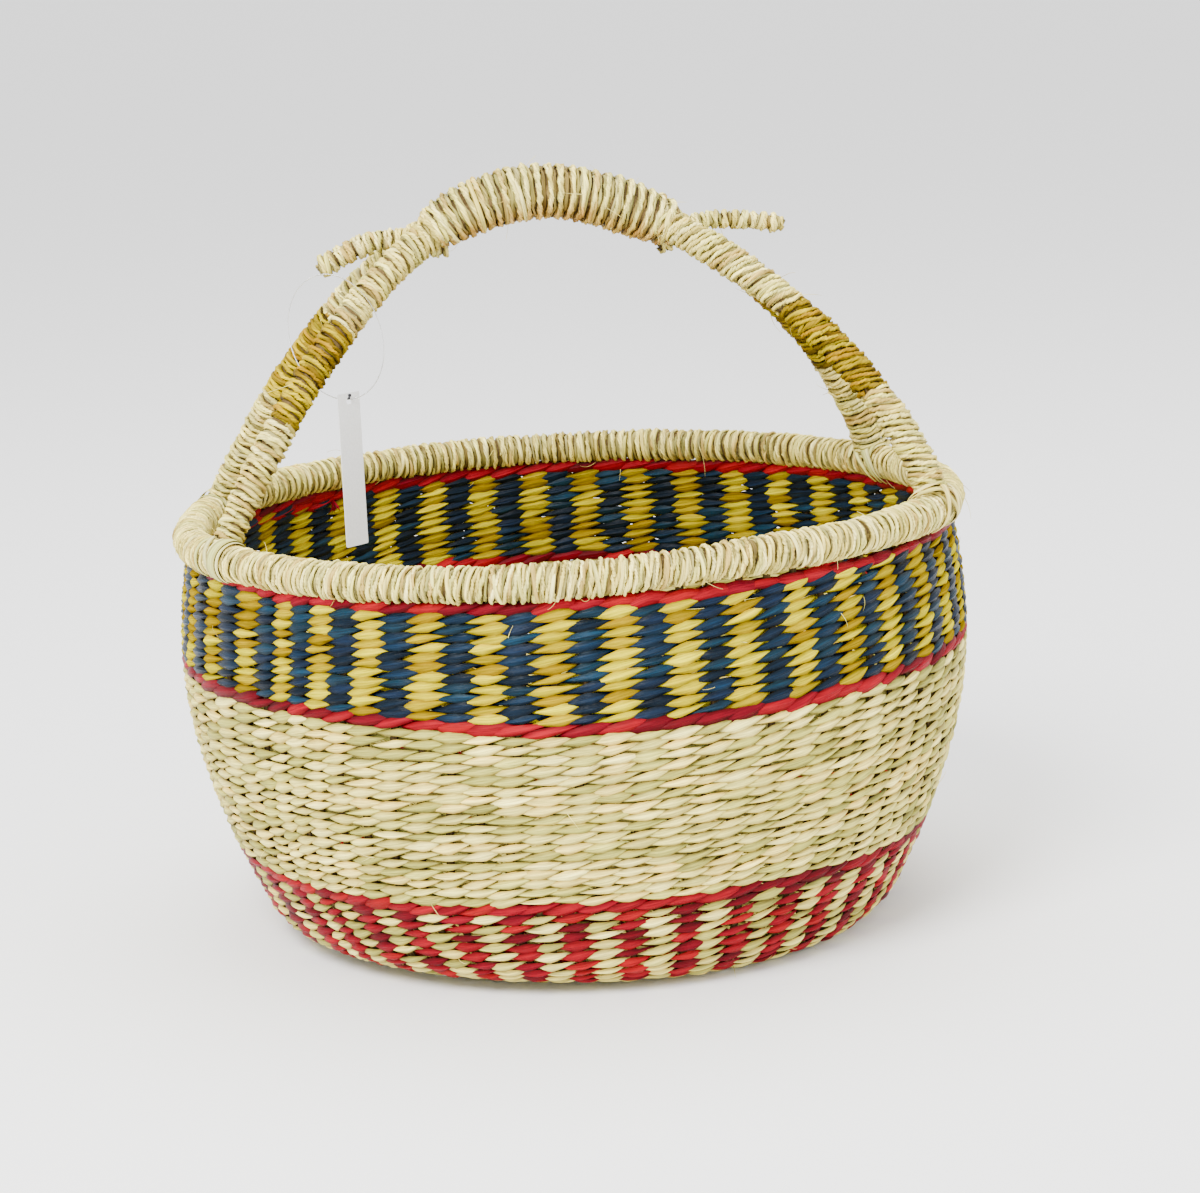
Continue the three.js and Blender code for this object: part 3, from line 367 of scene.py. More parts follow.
class Strands:
    """Gathers swept strands and turns them into one mesh. They are leaves unless another section is given."""

    def __init__(self, section=LEAF_SECTION):
        self.section = section
        self.creases = LEAF_CREASES if section is LEAF_SECTION else ()
        self.rings = []
        self.tints = []
        self.grains = []
        self.closed = []

    def add(self, points, outward, half_width, half_thickness, tint, closed=False, twist=None, edge=STRAND_EDGE_SHADE,
            slope=0.0, grooved=False):
        """Sweeps the section along points. Its width lies across the line and outward, turned by the twist.

        Painted shade darkens the tint towards the edges of the section, or for windings towards the side turned
        inward, and a random slope across the section paints one side lighter than the other.
        """
        points = np.asarray(points, float)
        count = len(points)
        outward = np.broadcast_to(np.asarray(outward, float), points.shape)
        tangent = along_line(points, closed)
        across = unit(np.cross(tangent, outward))
        out = np.cross(across, tangent)
        if twist is not None:
            cos, sin = np.cos(twist)[:, None], np.sin(twist)[:, None]
            across, out = across * cos + out * sin, out * cos - across * sin
        width = np.broadcast_to(half_width, count)[:, None, None]
        thickness = np.broadcast_to(half_thickness, count)[:, None, None]
        rings = (
            points[:, None]
            + across[:, None] * width * self.section[None, :, :1]
            + out[:, None] * thickness * self.section[None, :, 1:]
        )
        run = run_along(points)
        seed = rng.uniform(0, 900)
        grain = np.empty((count, len(self.section), 3))
        grain[..., 0] = run[:, None]
        grain[..., 1] = self.section[None, :, 0] * width[..., 0] + self.section[None, :, 1] * 0.3
        grain[..., 2] = seed
        self.rings.append(rings)
        self.grains.append(grain)
        if grooved:
            rise = ((rings - points[:, None]) * outward[:, None]).sum(axis=-1, keepdims=True) / thickness
            shade = GROOVE_SHADE + (1 - np.array(GROOVE_SHADE)) * np.clip((rise + 0.7) / 1.3, 0, 1)
        else:
            shade = 1 - (1 - np.array(edge)) * np.abs(self.section[:, :1]) ** 4
            # Painted light and shade: a random slope makes one side of the section lighter and the other darker, like
            # lit and shaded facets.
            shade = shade * (1 + slope * self.section[:, :1])
        self.tints.append(np.broadcast_to(tint, (count, 3))[:, None] * shade)
        self.closed.append(closed)

    def faces(self):
        """Corner lists of the quads and of the end caps, with their bake cells."""
        sides = len(self.section)
        quads, quad_cells, quad_steps, caps, cap_cells = [], [], [], [], []
        first = 0
        cell = 0
        for rings, closed in zip(self.rings, self.closed):
            count = len(rings)
            steps = count if closed else count - 1
            ring = np.arange(steps)[:, None] * sides
            side = np.arange(sides)[None]
            next_ring = (ring + sides) % (count * sides)
            next_side = (side + 1) % sides
            corners = np.stack([ring + side, ring + next_side, next_ring + next_side, next_ring + side], axis=-1)
            quads.append(first + corners)
            quad_cells.append(cell + np.arange(steps) // CELL_STEPS)
            quad_steps.append(np.arange(steps) % CELL_STEPS)
            cell += (steps - 1) // CELL_STEPS + 1
            if not closed:
                caps.append(first + np.arange(sides)[::-1])
                caps.append(first + (count - 1) * sides + np.arange(sides))
                cap_cells += [cell, cell + 1]
                cell += 2
            first += count * sides
        return quads, quad_cells, quad_steps, caps, cap_cells, cell

    def bake_map(self, quad_cells, quad_steps, cap_cells, cells):
        """Corner places on the bake map: each run of a strand has a cell of its own."""
        sides = len(self.section)
        lengths = [np.ptp(g[:, 0, 0]) * CELL_STEPS / len(g) for g in self.grains]
        girth = 4.4 * float(np.median([np.ptp(g[len(g) // 2, :, 1]) for g in self.grains])) / 2 + 1
        columns = max(1, round(math.sqrt(cells * girth / max(1, float(np.median(lengths))))))
        rows = -(-cells // columns)

        def place(cell, u, v):
            cell, u, v = np.broadcast_arrays(cell, u, v)
            u = CELL_MARGIN + (1 - 2 * CELL_MARGIN) * u
            v = CELL_MARGIN + (1 - 2 * CELL_MARGIN) * v
            return np.stack([(cell % columns + u) / columns, (cell // columns + v) / rows], axis=-1)

        maps = []
        low = np.arange(sides) / sides
        high = (np.arange(sides) + 1) / sides
        v = np.stack([low, high, high, low], axis=-1)[None]
        for cell, step in zip(quad_cells, quad_steps):
            u = (step[:, None] + np.array([0, 0, 1, 1])[None]) / CELL_STEPS
            maps.append(place(cell[:, None, None], u[:, None], v).reshape(-1, 2))
        turn = TURN * np.arange(sides) / sides
        for cell in cap_cells:
            maps.append(place(np.full(sides, cell), 0.5 + 0.5 * np.cos(turn), 0.5 + 0.5 * np.sin(turn)))
        return np.concatenate(maps)

    def sharpen(self, mesh):
        """Marks the lengthwise edges at the creases of the section."""
        ends = np.empty(2 * len(mesh.edges), np.int32)
        mesh.edges.foreach_get("vertices", ends)
        first, second = (ends.reshape(-1, 2) % len(self.section)).T
        sharp = (first == second) & np.isin(first, self.creases)
        mesh.attributes.new("sharp_edge", "BOOLEAN", "EDGE").data.foreach_set("value", sharp)

    def build(self, name, material, slot, nodes=(), body=BASKET):
        sides = len(self.section)
        points = np.concatenate([r.reshape(-1, 3) for r in self.rings]) * MM
        points[:, 2] = np.maximum(points[:, 2], LEAST_HEIGHT * MM)
        quads, quad_cells, quad_steps, caps, cap_cells, cells = self.faces()
        corners = np.concatenate([q.ravel() for q in quads] + caps).astype(np.int32)
        totals = np.concatenate([np.full(sum(q.shape[0] * q.shape[1] for q in quads), 4), np.full(len(caps), sides)])
        starts = np.concatenate([[0], np.cumsum(totals)[:-1]])
        mesh = bpy.data.meshes.new(name)
        mesh.vertices.add(len(points))
        mesh.vertices.foreach_set("co", points.ravel())
        mesh.loops.add(len(corners))
        mesh.loops.foreach_set("vertex_index", corners)
        mesh.polygons.add(len(totals))
        mesh.polygons.foreach_set("loop_start", starts.astype(np.int32))
        mesh.polygons.foreach_set("loop_total", totals.astype(np.int32))
        for attribute, values in (("tint", self.tints), ("grain", self.grains)):
            data = mesh.attributes.new(attribute, "FLOAT_VECTOR", "POINT").data
            data.foreach_set("vector", np.concatenate([v.reshape(-1, 3) for v in values]).ravel())
        layer = mesh.uv_layers.new(name="OFBake")
        layer.data.foreach_set("uv", self.bake_map(quad_cells, quad_steps, cap_cells, cells).ravel())
        mesh.update(calc_edges=True)
        mesh.shade_smooth()
        if self.creases:
            self.sharpen(mesh)
        dress(add_object(name, mesh), material, nodes, body)


def add_object(name, data):
    piece = bpy.data.objects.new(name, data)
    bpy.context.scene.collection.objects.link(piece)
    return piece


def dress(piece, material, nodes=(), body=BASKET):
    piece.data.materials.append(MATERIALS[material])
    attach(piece, body)
    if nodes:
        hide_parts(*nodes)


# Materials

def new_material(name):
    material = bpy.data.materials.new(name)
    material.use_nodes = True
    tree = material.node_tree
    return material, tree, tree.nodes["Principled BSDF"]


def feed(tree, node, inputs):
    """Sets inputs of a node by name or number. Each takes a value, or a socket to link."""
    for key, value in inputs.items():
        if isinstance(value, bpy.types.NodeSocket):
            tree.links.new(value, node.inputs[key])
        else:
            node.inputs[key].default_value = value


def add_node(tree, kind, inputs=None, **settings):
    node = tree.nodes.new(kind)
    for key, value in settings.items():
        setattr(node, key, value)
    feed(tree, node, inputs or {})
    return node


def maths(tree, operation, *inputs):
    return add_node(tree, "ShaderNodeMath", dict(enumerate(inputs)), operation=operation).outputs[0]


def multiply(tree, first, second):
    return add_node(tree, "ShaderNodeVectorMath", {0: first, 1: second}, operation="MULTIPLY").outputs[0]


def noise_of_grain(tree, grain, scales, detail):
    """A noise that runs along the strand: scales are per mm along it, across it and per strand."""
    inputs = {"Scale": 1, "Detail": detail, "Vector": multiply(tree, grain, scales)}
    return add_node(tree, "ShaderNodeTexNoise", inputs, noise_dimensions="3D").outputs["Fac"]


def remap(tree, value, low, high, to_low, to_high):
    inputs = {"Value": value, "From Min": low, "From Max": high, "To Min": to_low, "To Max": to_high}
    return add_node(tree, "ShaderNodeMapRange", inputs).outputs["Result"]


def add_relief(tree, shader, height, strength, distance):
    inputs = {"Strength": strength, "Distance": distance * MM, "Height": height}
    feed(tree, shader, {"Normal": add_node(tree, "ShaderNodeBump", inputs).outputs["Normal"]})


def grass_material(name, shine, streak=0.28, fibre=0.16, stain=(0.45, 0.27, 0.12), stain_share=0.25, bump=0.7,
                   gloss=0.2):
    """Dried grass: the strand's tint with its painted shade, long streaks, fine fibres and a few stained stretches.
    """
    material, tree, shader = new_material(name)
    tint = add_node(tree, "ShaderNodeAttribute", attribute_name="tint").outputs["Vector"]
    grain = add_node(tree, "ShaderNodeAttribute", attribute_name="grain").outputs["Vector"]
    streaks = noise_of_grain(tree, grain, (0.09, 1.5, 1), 2)
    fibres = noise_of_grain(tree, grain, (0.12, 3.4, 1), 3)
    stains = noise_of_grain(tree, grain, (0.09, 0.25, 1), 1)
    light = remap(tree, streaks, 0.3, 0.7, 1 - streak, 1 + streak)
    fine = remap(tree, fibres, 0.3, 0.7, 1 - fibre, 1 + fibre)
    product = maths(tree, "MULTIPLY", light, fine)
    shaded = add_node(tree, "ShaderNodeVectorMath", {0: tint, "Scale": product}, operation="SCALE").outputs[0]
    mixed = {"Factor": remap(tree, stains, 0.62, 0.8, 0, stain_share), 4: shaded, 5: multiply(tree, shaded, stain)}
    feed(tree, shader, {
        "Base Color": add_node(tree, "ShaderNodeMix", mixed, data_type="VECTOR").outputs[1],
        "Roughness": remap(tree, fibres, 0.3, 0.7, shine - 0.08, shine + 0.1),
        "Specular IOR Level": gloss,
    })
    add_relief(tree, shader, maths(tree, "MULTIPLY_ADD", streaks, 2.0, fibres), bump, 0.3)
    return material


def plain_material(name, colour, roughness, gloss=0.3, clear=0.0):
    """A fine, faintly mottled surface, for the paper and the plastic of the tag."""
    material, tree, shader = new_material(name)
    place = add_node(tree, "ShaderNodeTexCoord").outputs["Object"]
    noise = add_node(tree, "ShaderNodeTexNoise", {"Scale": 900, "Detail": 4, "Vector": place}).outputs["Fac"]
    ramp = add_node(tree, "ShaderNodeValToRGB", {"Fac": noise})
    for element, position, shade in zip(ramp.color_ramp.elements, (0.3, 0.7), (0.9, 1)):
        element.position = position
        element.color = (*(shade * np.array(colour)), 1)
    feed(tree, shader, {"Base Color": ramp.outputs["Color"], "Roughness": roughness, "Specular IOR Level": gloss,
                        "Transmission Weight": clear})
    add_relief(tree, shader, noise, 0.15, 0.1)
    return material


MATERIALS = {
    "natural": grass_material("natural grass", 0.58, fibre=0.2, gloss=0.12),
    "red": grass_material("red grass", 0.45, stain=(0.5, 0.4, 0.6), gloss=0.06),
    "yellow": grass_material("yellow grass", 0.5, stain=(0.6, 0.45, 0.3), gloss=0.0),
    # The blue grass's strong streaks are partly its own streaks and partly painted highlights along the glossy
    # blades.
    "blue": grass_material("blue grass", 0.38, streak=0.5, stain=(0.5, 0.5, 0.6), gloss=0.1),
    "straw": grass_material("wrapping straw", 0.55, streak=0.34, fibre=0.24, bump=0.9, gloss=0.12),
    "gold": grass_material("golden straw", 0.5, stain=(0.7, 0.45, 0.3), gloss=0.06),
    "green": grass_material("green grass", 0.55),
    "core": grass_material("bundled grass", 0.8, gloss=0.05),
    "card": plain_material("white card", (0.84, 0.84, 0.83), 0.6),
    "filament": plain_material("clear filament", (0.9, 0.92, 0.93), 0.15, 0.5, 0.9),
    "knot": plain_material("dark lock", (0.03, 0.03, 0.035), 0.4),
}


# Wall: a smooth section, on which the rows of weft are placed

def smooth_outline():
    """Catmull-Rom curve through the wall's outline: radius and height, and the run along it."""
    knots = np.array(WALL_OUTLINE, float)
    padded = np.vstack([2 * knots[0] - knots[1], knots, 2 * knots[-1] - knots[-2]])
    share = np.linspace(0, 1, OUTLINE_STEPS, endpoint=False)[:, None]
    pieces = []
    for a, b, c, d in zip(padded, padded[1:], padded[2:], padded[3:]):
        pieces.append(0.5 * (2 * b + (c - a) * share + (2 * a - 5 * b + 4 * c - d) * share**2
                             + (3 * b - a - 3 * c + d) * share**3))
    line = np.vstack(pieces + [knots[-1:]])
    line[:, 1] = np.maximum(line[:, 1], 0)
    return line, run_along(line)


def around(knots):
    """A smooth rise around the basket, read by angle, from knots of degrees and millimetres."""
    degrees = np.arange(0, 360, 4)
    rise = np.interp(degrees, *zip(*knots), period=360)
    weights = np.hanning(9) / np.hanning(9).sum()
    rise = np.convolve(np.tile(rise, 3), weights, "same")[len(degrees):2 * len(degrees)]
    return lambda angle: np.interp(np.degrees(angle), degrees, rise, period=360)


foot_drift = around(FOOT_DRIFT)
lower_red_drift = around(LOWER_RED_DRIFT)
upper_red_drift = around(UPPER_RED_DRIFT)
top_red_drift = around(TOP_RED_DRIFT)
rim_drift = around(RIM_DRIFT)


OUTLINE, OUTLINE_RUN = smooth_outline()
OUTLINE_TANGENT = unit(np.gradient(OUTLINE, axis=0))
FOOT_STOP = OUTLINE_RUN[FOOT_PLACE * OUTLINE_STEPS]


def height_at(stop):
    return np.interp(stop, OUTLINE_RUN, OUTLINE[:, 1])


def stop_at(height):
    """Run along the outline at a height above the foot."""
    from_foot = OUTLINE_RUN >= FOOT_STOP
    return np.interp(height, OUTLINE[from_foot, 1], OUTLINE_RUN[from_foot])


def lean_at(height):
    share = np.clip((STAKE_LEAN_FROM - height) / (STAKE_LEAN_FROM - STAKE_LEAN_TO), 0, 1.15)
    return -STAKE_LEAN * share


def stake_angle(stake, height, stakes=STAKES):
    """Angle of a stake, counted in stakes, at a height of the wall."""
    angle = FIRST_STAKE + TURN * np.asarray(stake) / stakes
    from_uneven = (angle - UNEVEN_PLACE + math.pi) % TURN - math.pi
    side_lean = np.radians(np.interp(height, *zip(*SIDE_LEAN))) * np.maximum(0, np.cos(angle - SIDE_LEAN_PLACE))
    return angle + UNEVEN_STAKES * np.exp(-((from_uneven / UNEVEN_WIDTH) ** 2)) + lean_at(height) + side_lean


def wall_point(angle, stop, depth):
    """Point of the wall and its outward direction, at a depth below the outside."""
    radius = np.interp(stop, OUTLINE_RUN, OUTLINE[:, 0])
    height = height_at(stop) + foot_drift(angle) * np.interp(stop - FOOT_STOP, FOOT_DRIFT_SPAN, [0, 1, 0])
    run_out, run_up = read_line(stop, OUTLINE_RUN, OUTLINE_TANGENT).T
    level = np.stack([np.cos(angle), np.sin(angle)], axis=-1)
    outward = np.concatenate([level * run_up[:, None], -run_out[:, None]], axis=-1)
    surface = np.concatenate([level * radius[:, None], height[:, None]], axis=-1)
    return surface - outward * depth[:, None], outward


def blade_tints(palette, count, longest=5, spread=0.09):
    """Colour at each of count places: a strand is pieced from blades a few places long."""
    colours = np.array(PALETTES[palette])
    tints = np.empty((count, 3))
    place = 0
    while place < count:
        length = rng.integers(1, longest + 1)
        tints[place:place + length] = colours[rng.integers(len(colours))]
        place += length
    return tints * rng.normal(1, spread, (count, 1)).clip(0.72, 1.28)


def leaf_places(count, reach):
    """Places along each of count leaves, in stakes from its middle, and the share of the way to the tip."""
    longer = 1 + rng.normal(0, 0.08, (count, 2))
    crest = rng.uniform(-LEAF_SKEW, LEAF_SKEW, (count, 1))
    place = np.linspace(-1, 1, LEAF_STEPS)[None]
    share = np.where(place < crest, (crest - place) / (1 + crest), (place - crest) / (1 - crest))
    places = reach * place * np.where(place < 0, longer[:, :1], longer[:, 1:])
    return places + rng.normal(0, 0.03, (count, 1)), share


def weave_face(strands, stakes, members, tints, stop, inside, rope, wander):
    """The leaves of a row on one face of the wall, at the stakes that are its members."""
    reach, climb, widest, taper = LEAF_REACH, LEAF_RISE, LEAF_HALF_WIDTH, LEAF_TAPER
    if rope:
        reach, climb, widest, taper = ROPE_REACH, ROPE_RISE, ROPE_HALF_WIDTH, ROPE_TAPER
    elif FOOT_STOP < stop < LOWER_RED:
        widest *= LOWER_FULLNESS
    count = len(members)
    places, share = leaf_places(count, reach)
    differ = rng.normal(0, 1, (6, count, 1)) * LEAF_UNEVENNESS[:, None, None]
    side = -1 if inside else 1
    height = float(height_at(stop))
    angle = stake_angle(members[:, None] + places, height, stakes)
    rise = side * climb * places * (1 + differ[0]) + differ[1]
    line = stop + rise + differ[2] * (share**2 - 0.3) + (wander(angle) if wander else 0)
    width = LEAF_TIP + widest * (1 + differ[3]).clip(0.72, 1.3) * (1 - share**taper)
    thickness = LEAF_TIP + LEAF_HALF_THICKNESS * (1 + differ[4]) * (1 - share**2.5)
    depth = LEAF_DEPTH + differ[5] + LEAF_DIVE * share**2.2
    if height < BASE_TOP:
        depth = depth + BASE_LIFT
    if inside:
        depth = WALL_THICKNESS - depth
    points, outward = wall_point(angle.ravel(), line.ravel(), depth.ravel())
    points = points.reshape(count, LEAF_STEPS, 3)
    outward = outward.reshape(count, LEAF_STEPS, 3) * side
    # Painted shade: each leaf darkens towards its tips, where they tuck under.
    tip_shade = 1 - 0.4 * share**2
    for k in range(count):
        order = slice(None, None, rng.choice([-1, 1]))
        strands.add(points[k][order], outward[k][order], width[k][order], thickness[k][order],
                    tints[members[k]] * tip_shade[k][order, None], slope=rng.normal(0, 0.26))


def row_wander(height):
    """Slow unevenness of a row, between that of the red rows below and above it."""
    heights = [WANDER_FROM, LOWER_RED_HEIGHT, UPPER_RED_HEIGHT, TOP_RED_HEIGHT]

    def offset(angle):
        marks = np.stack([np.zeros_like(angle), lower_red_drift(angle), upper_red_drift(angle), top_red_drift(angle)])
        at = np.interp(height, heights, range(len(heights)))
        low = min(int(at), len(heights) - 2)
        drift = marks[low] + (marks[low + 1] - marks[low]) * (at - low)
        return (drift + 0.25 * np.sin(5 * angle + 2 + height / 45) + 0.2 * np.sin(11 * angle + height / 30)
                + 0.15 * np.sin(23 * angle + height / 12))
    return offset


def weave_row(first, second, stop, first_palette, second_palette, stakes=STAKES, rope=False):
    """A row of two strands. The first passes outside the even stakes and the second outside the odd ones."""
    height = float(height_at(stop))
    wander = row_wander(height) if height > WANDER_FROM else None
    even = np.arange(0, stakes, 2)
    odd = np.arange(1, stakes, 2)
    for strands, palette, outer, inner in ((first, first_palette, even, odd), (second, second_palette, odd, even)):
        tints = blade_tints(palette, stakes)
        weave_face(strands, stakes, outer, tints, stop, False, rope, wander)
        weave_face(strands, stakes, inner, tints, stop, True, rope, wander)


def row_stops(low, high, rows):
    """Stops of rows evenly spaced between two others."""
    return [low + (high - low) * (k + 1) / (rows + 1) for k in range(rows)]


LOWER_RED = stop_at(LOWER_RED_HEIGHT)
UPPER_RED = stop_at(UPPER_RED_HEIGHT)
TOP_RED = stop_at(TOP_RED_HEIGHT)
LOWER_STOPS = row_stops(FOOT_STOP - 2, LOWER_RED, LOWER_ROWS)


def weave_single(name, stops, palette, nodes, rope=False):
    strands = Strands()
    for stop in stops:
        weave_row(strands, strands, stop, palette, palette, rope=rope)
    strands.build(name, palette, f"{palette}_grass", nodes)


def weave_striped(name, stops, palettes, slot, nodes):
    """Rows of two colours, whose strands make one piece for each colour."""
    pieces = Strands(), Strands()
    for stop in stops:
        weave_row(*pieces, stop, *palettes)
    for strands, palette, node in zip(pieces, palettes, nodes):
        strands.build(f"{name}_{palette}_strands", palette, slot, [node])


def layers(zone):
    return [f"{zone}_outside", f"{zone}_inside"]


def build_wall():
    weave_single("foot_rows_strands", LOWER_STOPS[:FOOT_ROWS], "natural", layers("foot_rows"))
    weave_striped("lower_rows", LOWER_STOPS[FOOT_ROWS:], ("natural", "red"), "red_and_natural_grass",
                  layers("lower_striped_rows"))
    weave_single("lower_red_strands", [LOWER_RED], "red", layers("lower_red_row"), rope=True)
    middle = row_stops(LOWER_RED, UPPER_RED, MIDDLE_ROWS)
    third = MIDDLE_ROWS // 3
    weave_single("middle_rows_low_strands", middle[:third], "natural", ["middle_plain_rows_inside"])
    weave_single("middle_rows_mid_strands", middle[third:2 * third], "natural", ["middle_plain_rows_outside"])
    weave_single("middle_rows_high_strands", middle[2 * third:], "natural", [])
    weave_single("upper_red_strands", [UPPER_RED], "red", layers("upper_red_row"), rope=True)
    weave_striped("upper_rows", row_stops(UPPER_RED, TOP_RED, UPPER_ROWS), ("yellow", "blue"),
                  "blue_and_yellow_grass", layers("upper_striped_rows"))
    weave_single("top_red_strands", [TOP_RED], "red", layers("top_red_row"), rope=True)


def build_red_tail():
    """The end of the red strand, laid in under the top red row on the inside."""
    strands = Strands()
    stop = TOP_RED - RED_TAIL_DROP
    first, last = (np.radians(RED_TAIL_SPAN) - FIRST_STAKE) / STAKE_STEP
    members = np.arange(round(first), round(last)) % STAKES
    tints = blade_tints("red", STAKES)
    weave_face(strands, STAKES, members, tints, stop, True, True, row_wander(TOP_RED_HEIGHT))
    place = np.radians([RED_TAIL_SPAN[0] - 0.5])
    start, outward = wall_point(place, np.array([stop]), np.array([WALL_THICKNESS + 0.6]))
    down = np.array([0.0, 0.0, -1.0])
    share = np.linspace(0, 1, 10)[:, None]
    for k in range(RED_TAIL_FIBRES):
        lean = unit(down + 0.5 * rng.normal(0, 1, 3) - 0.3 * outward[0])
        bow = outward[0] * 1.4 * np.sin(math.pi * share)
        points = start[0] + lean * RED_TAIL_REACH * share * rng.uniform(0.6, 1) - bow
        thinning = 1.05 - share[:, 0]
        strands.add(points, -outward[0], 1.1 * thinning + 0.12, 0.4 * thinning + 0.1, tints[k])
    strands.build("red_strand_tail", "red", "red_grass")


# Base

def lay_knot(strands):
    """The blades that cross in the middle of the base, where the first row starts."""
    share = np.linspace(-1, 1, LEAF_STEPS)
    for k in range(KNOT_BLADES):
        angle = math.pi * (k + rng.uniform(-0.2, 0.2)) / KNOT_BLADES
        bow = 1.5 * (1 - share**2) * rng.normal()
        level = KNOT_INSET + (WALL_THICKNESS - 2 * KNOT_INSET) * k / (KNOT_BLADES - 1)
        points = np.stack([
            KNOT_REACH * share * math.cos(angle) - bow * math.sin(angle),
            KNOT_REACH * share * math.sin(angle) + bow * math.cos(angle),
            level + 0.5 * share**2 * (WALL_THICKNESS / 2 - level),
        ], axis=-1)
        width = LEAF_TIP + KNOT_HALF_WIDTH * (1 - np.abs(share) ** 3)
        thickness = LEAF_TIP + KNOT_HALF_THICKNESS * (1 - share**4)
        strands.add(points, (0, 0, 1), width, thickness, blade_tints("natural", 1)[0], slope=rng.normal(0, 0.15))


def build_base():
    outer, inner = Strands(), Strands()
    radius = FOOT_STOP - BASE_EDGE
    while radius > BASE_ZONES[-1][0]:
        stakes = next(number for low, number in BASE_ZONES if radius >= low)
        strands = outer if radius >= BASE_SPLIT else inner
        weave_row(strands, strands, radius, "natural", "natural", stakes=stakes)
        radius -= BASE_PITCH
    lay_knot(inner)
    outer.build("base_rows_outer_strands", "natural", "natural_grass", ["base_rows_outside"])
    inner.build("base_rows_inner_strands", "natural", "natural_grass", ["base_rows_inside"])


# Stakes

def build_stakes():
    strands = Strands(THIN_SECTION)
    stops = np.linspace(OUTLINE_RUN[0] + STAKE_RUN_START, OUTLINE_RUN[-1] + STAKE_OVERRUN, STAKE_POINTS)
    for stake in range(STAKES):
        angle = stake_angle(stake, height_at(stops))
        points, outward = wall_point(angle, stops, np.full(len(stops), WALL_THICKNESS / 2))
        beyond = np.maximum(0, stops - OUTLINE_RUN[-1])
        points[:, 2] += beyond
        radius = np.hypot(points[:, 0], points[:, 1])
        width = np.minimum(STAKE_HALF_WIDTH, STAKE_WIDTH_BY_RADIUS * radius)
        strands.add(points, outward, width, STAKE_HALF_THICKNESS, blade_tints("core", 1))
    strands.build("stakes", "core", "stake_grass", ["stake_cage"])


# Windings: a strand wound around a curved core, given by its points, frames and radii read by the run

def winding_line(core, span, turns, steps, tilt=0.0, drift=0.35, lift=0.0, kinks=5, cross=0.0, cross_at=0.0):
    """Points and outward directions of a strand wound around a core, with a little unevenness.

    With a cross, every other turn leans the other way, so that the turns meet and cross.
    """
    point_at, frame_at, radii = core
    count = int(turns * steps)
    turn = np.arange(count + 1) / steps + rng.uniform(0, 1)
    share = np.arange(count + 1) / count
    slow = wobble(turn, int(turns) + 4)
    quick = wobble(turn * kinks, int(kinks * turns) + 3 * kinks)
    phase = TURN * turn
    run = span[0] + (span[1] - span[0]) * share
    leaning = phase / 2 + cross_at + 0.6 * wobble(turn, int(turns) + 4)
    run = run + drift * (0.5 * np.sin(phase + slow) + quick) + tilt * np.sin(phase) + cross * np.sin(leaning)
    run = np.clip(run, min(span), max(span))
    centre = point_at(run)
    side, up = frame_at(run)
    half_height, half_width = radii(run)
    swell = lift + 0.16 * slow + 0.14 * quick + 0.24 * cross * np.cos(leaning)
    cos, sin = np.cos(phase)[:, None], np.sin(phase)[:, None]
    points = centre + side * (half_width + swell)[:, None] * cos + up * (half_height + swell)[:, None] * sin
    outward = unit(side * half_height[:, None] * cos + up * half_width[:, None] * sin)
    return points, outward


def wind(strands, line, palette, half_width, half_thickness, pitch, underside_shade, dim=1.0):
    """Winds a strand pieced from blades along a line. It turns over once in each pitch of its run."""
    points, outward = line
    run = run_along(points)
    pieces = int(run[-1] / PIECE_LENGTH) + 2
    places = run / PIECE_LENGTH
    colours = blade_tints(palette, pieces, BLADE_LENGTH // PIECE_LENGTH, 0.12)
    # A dim below 1 darkens the lower layer: painted shade under the layer above.
    shades = dim * rng.normal(1, 0.13, (pieces, 1)).clip(0.65, 1.25)
    tint = read_line(places, np.arange(pieces), colours * shades)
    sway = wobble(places, pieces)
    # Painted shade: the strand darkens towards the underside colour where it faces downward.
    downward = np.clip(-outward[:, 2:] * 1.5 - 0.2, 0, 1)
    tint = tint * (1 - downward * (1 - np.array(underside_shade)))
    width = half_width * (1 + 0.16 * sway).clip(0.65, 1.3)
    twist = TURN * run / pitch + 0.9 * wobble(places, pieces)
    strands.add(points, outward, width, half_thickness, tint, twist=twist, grooved=True)


def wrap(name, node, core, span, palette, pitch, steps, strand, twist, tilt, cross, cross_at=0.0, kinks=5,
         underside_shade=(1, 1, 1), crossings=10):
    """A close layer of winding, a layer over it whose turns cross, and here and there a blade laid over both."""
    strands = Strands(THIN_SECTION)
    half_width, half_thickness = strand
    turns = (span[1] - span[0]) / pitch
    low = winding_line(core, span, turns, steps * 2 // 3, tilt, 0.2, UNDER_LIFT, kinks)
    wind(strands, low, palette, UNDER_WIDTH * half_width, UNDER_THICKNESS * half_thickness, UNDER_TWIST * twist,
         underside_shade, UNDER_SHADE)
    high = winding_line(core, span, turns, steps, tilt, 0.35, 0.05, kinks, cross, cross_at)
    wind(strands, high, palette, half_width, half_thickness, twist, underside_shade)
    lay_over(strands, core, span, palette, crossings, OVER_WIDTH * half_width)
    strands.build(name, palette, WRAP_SLOTS[palette], [node])


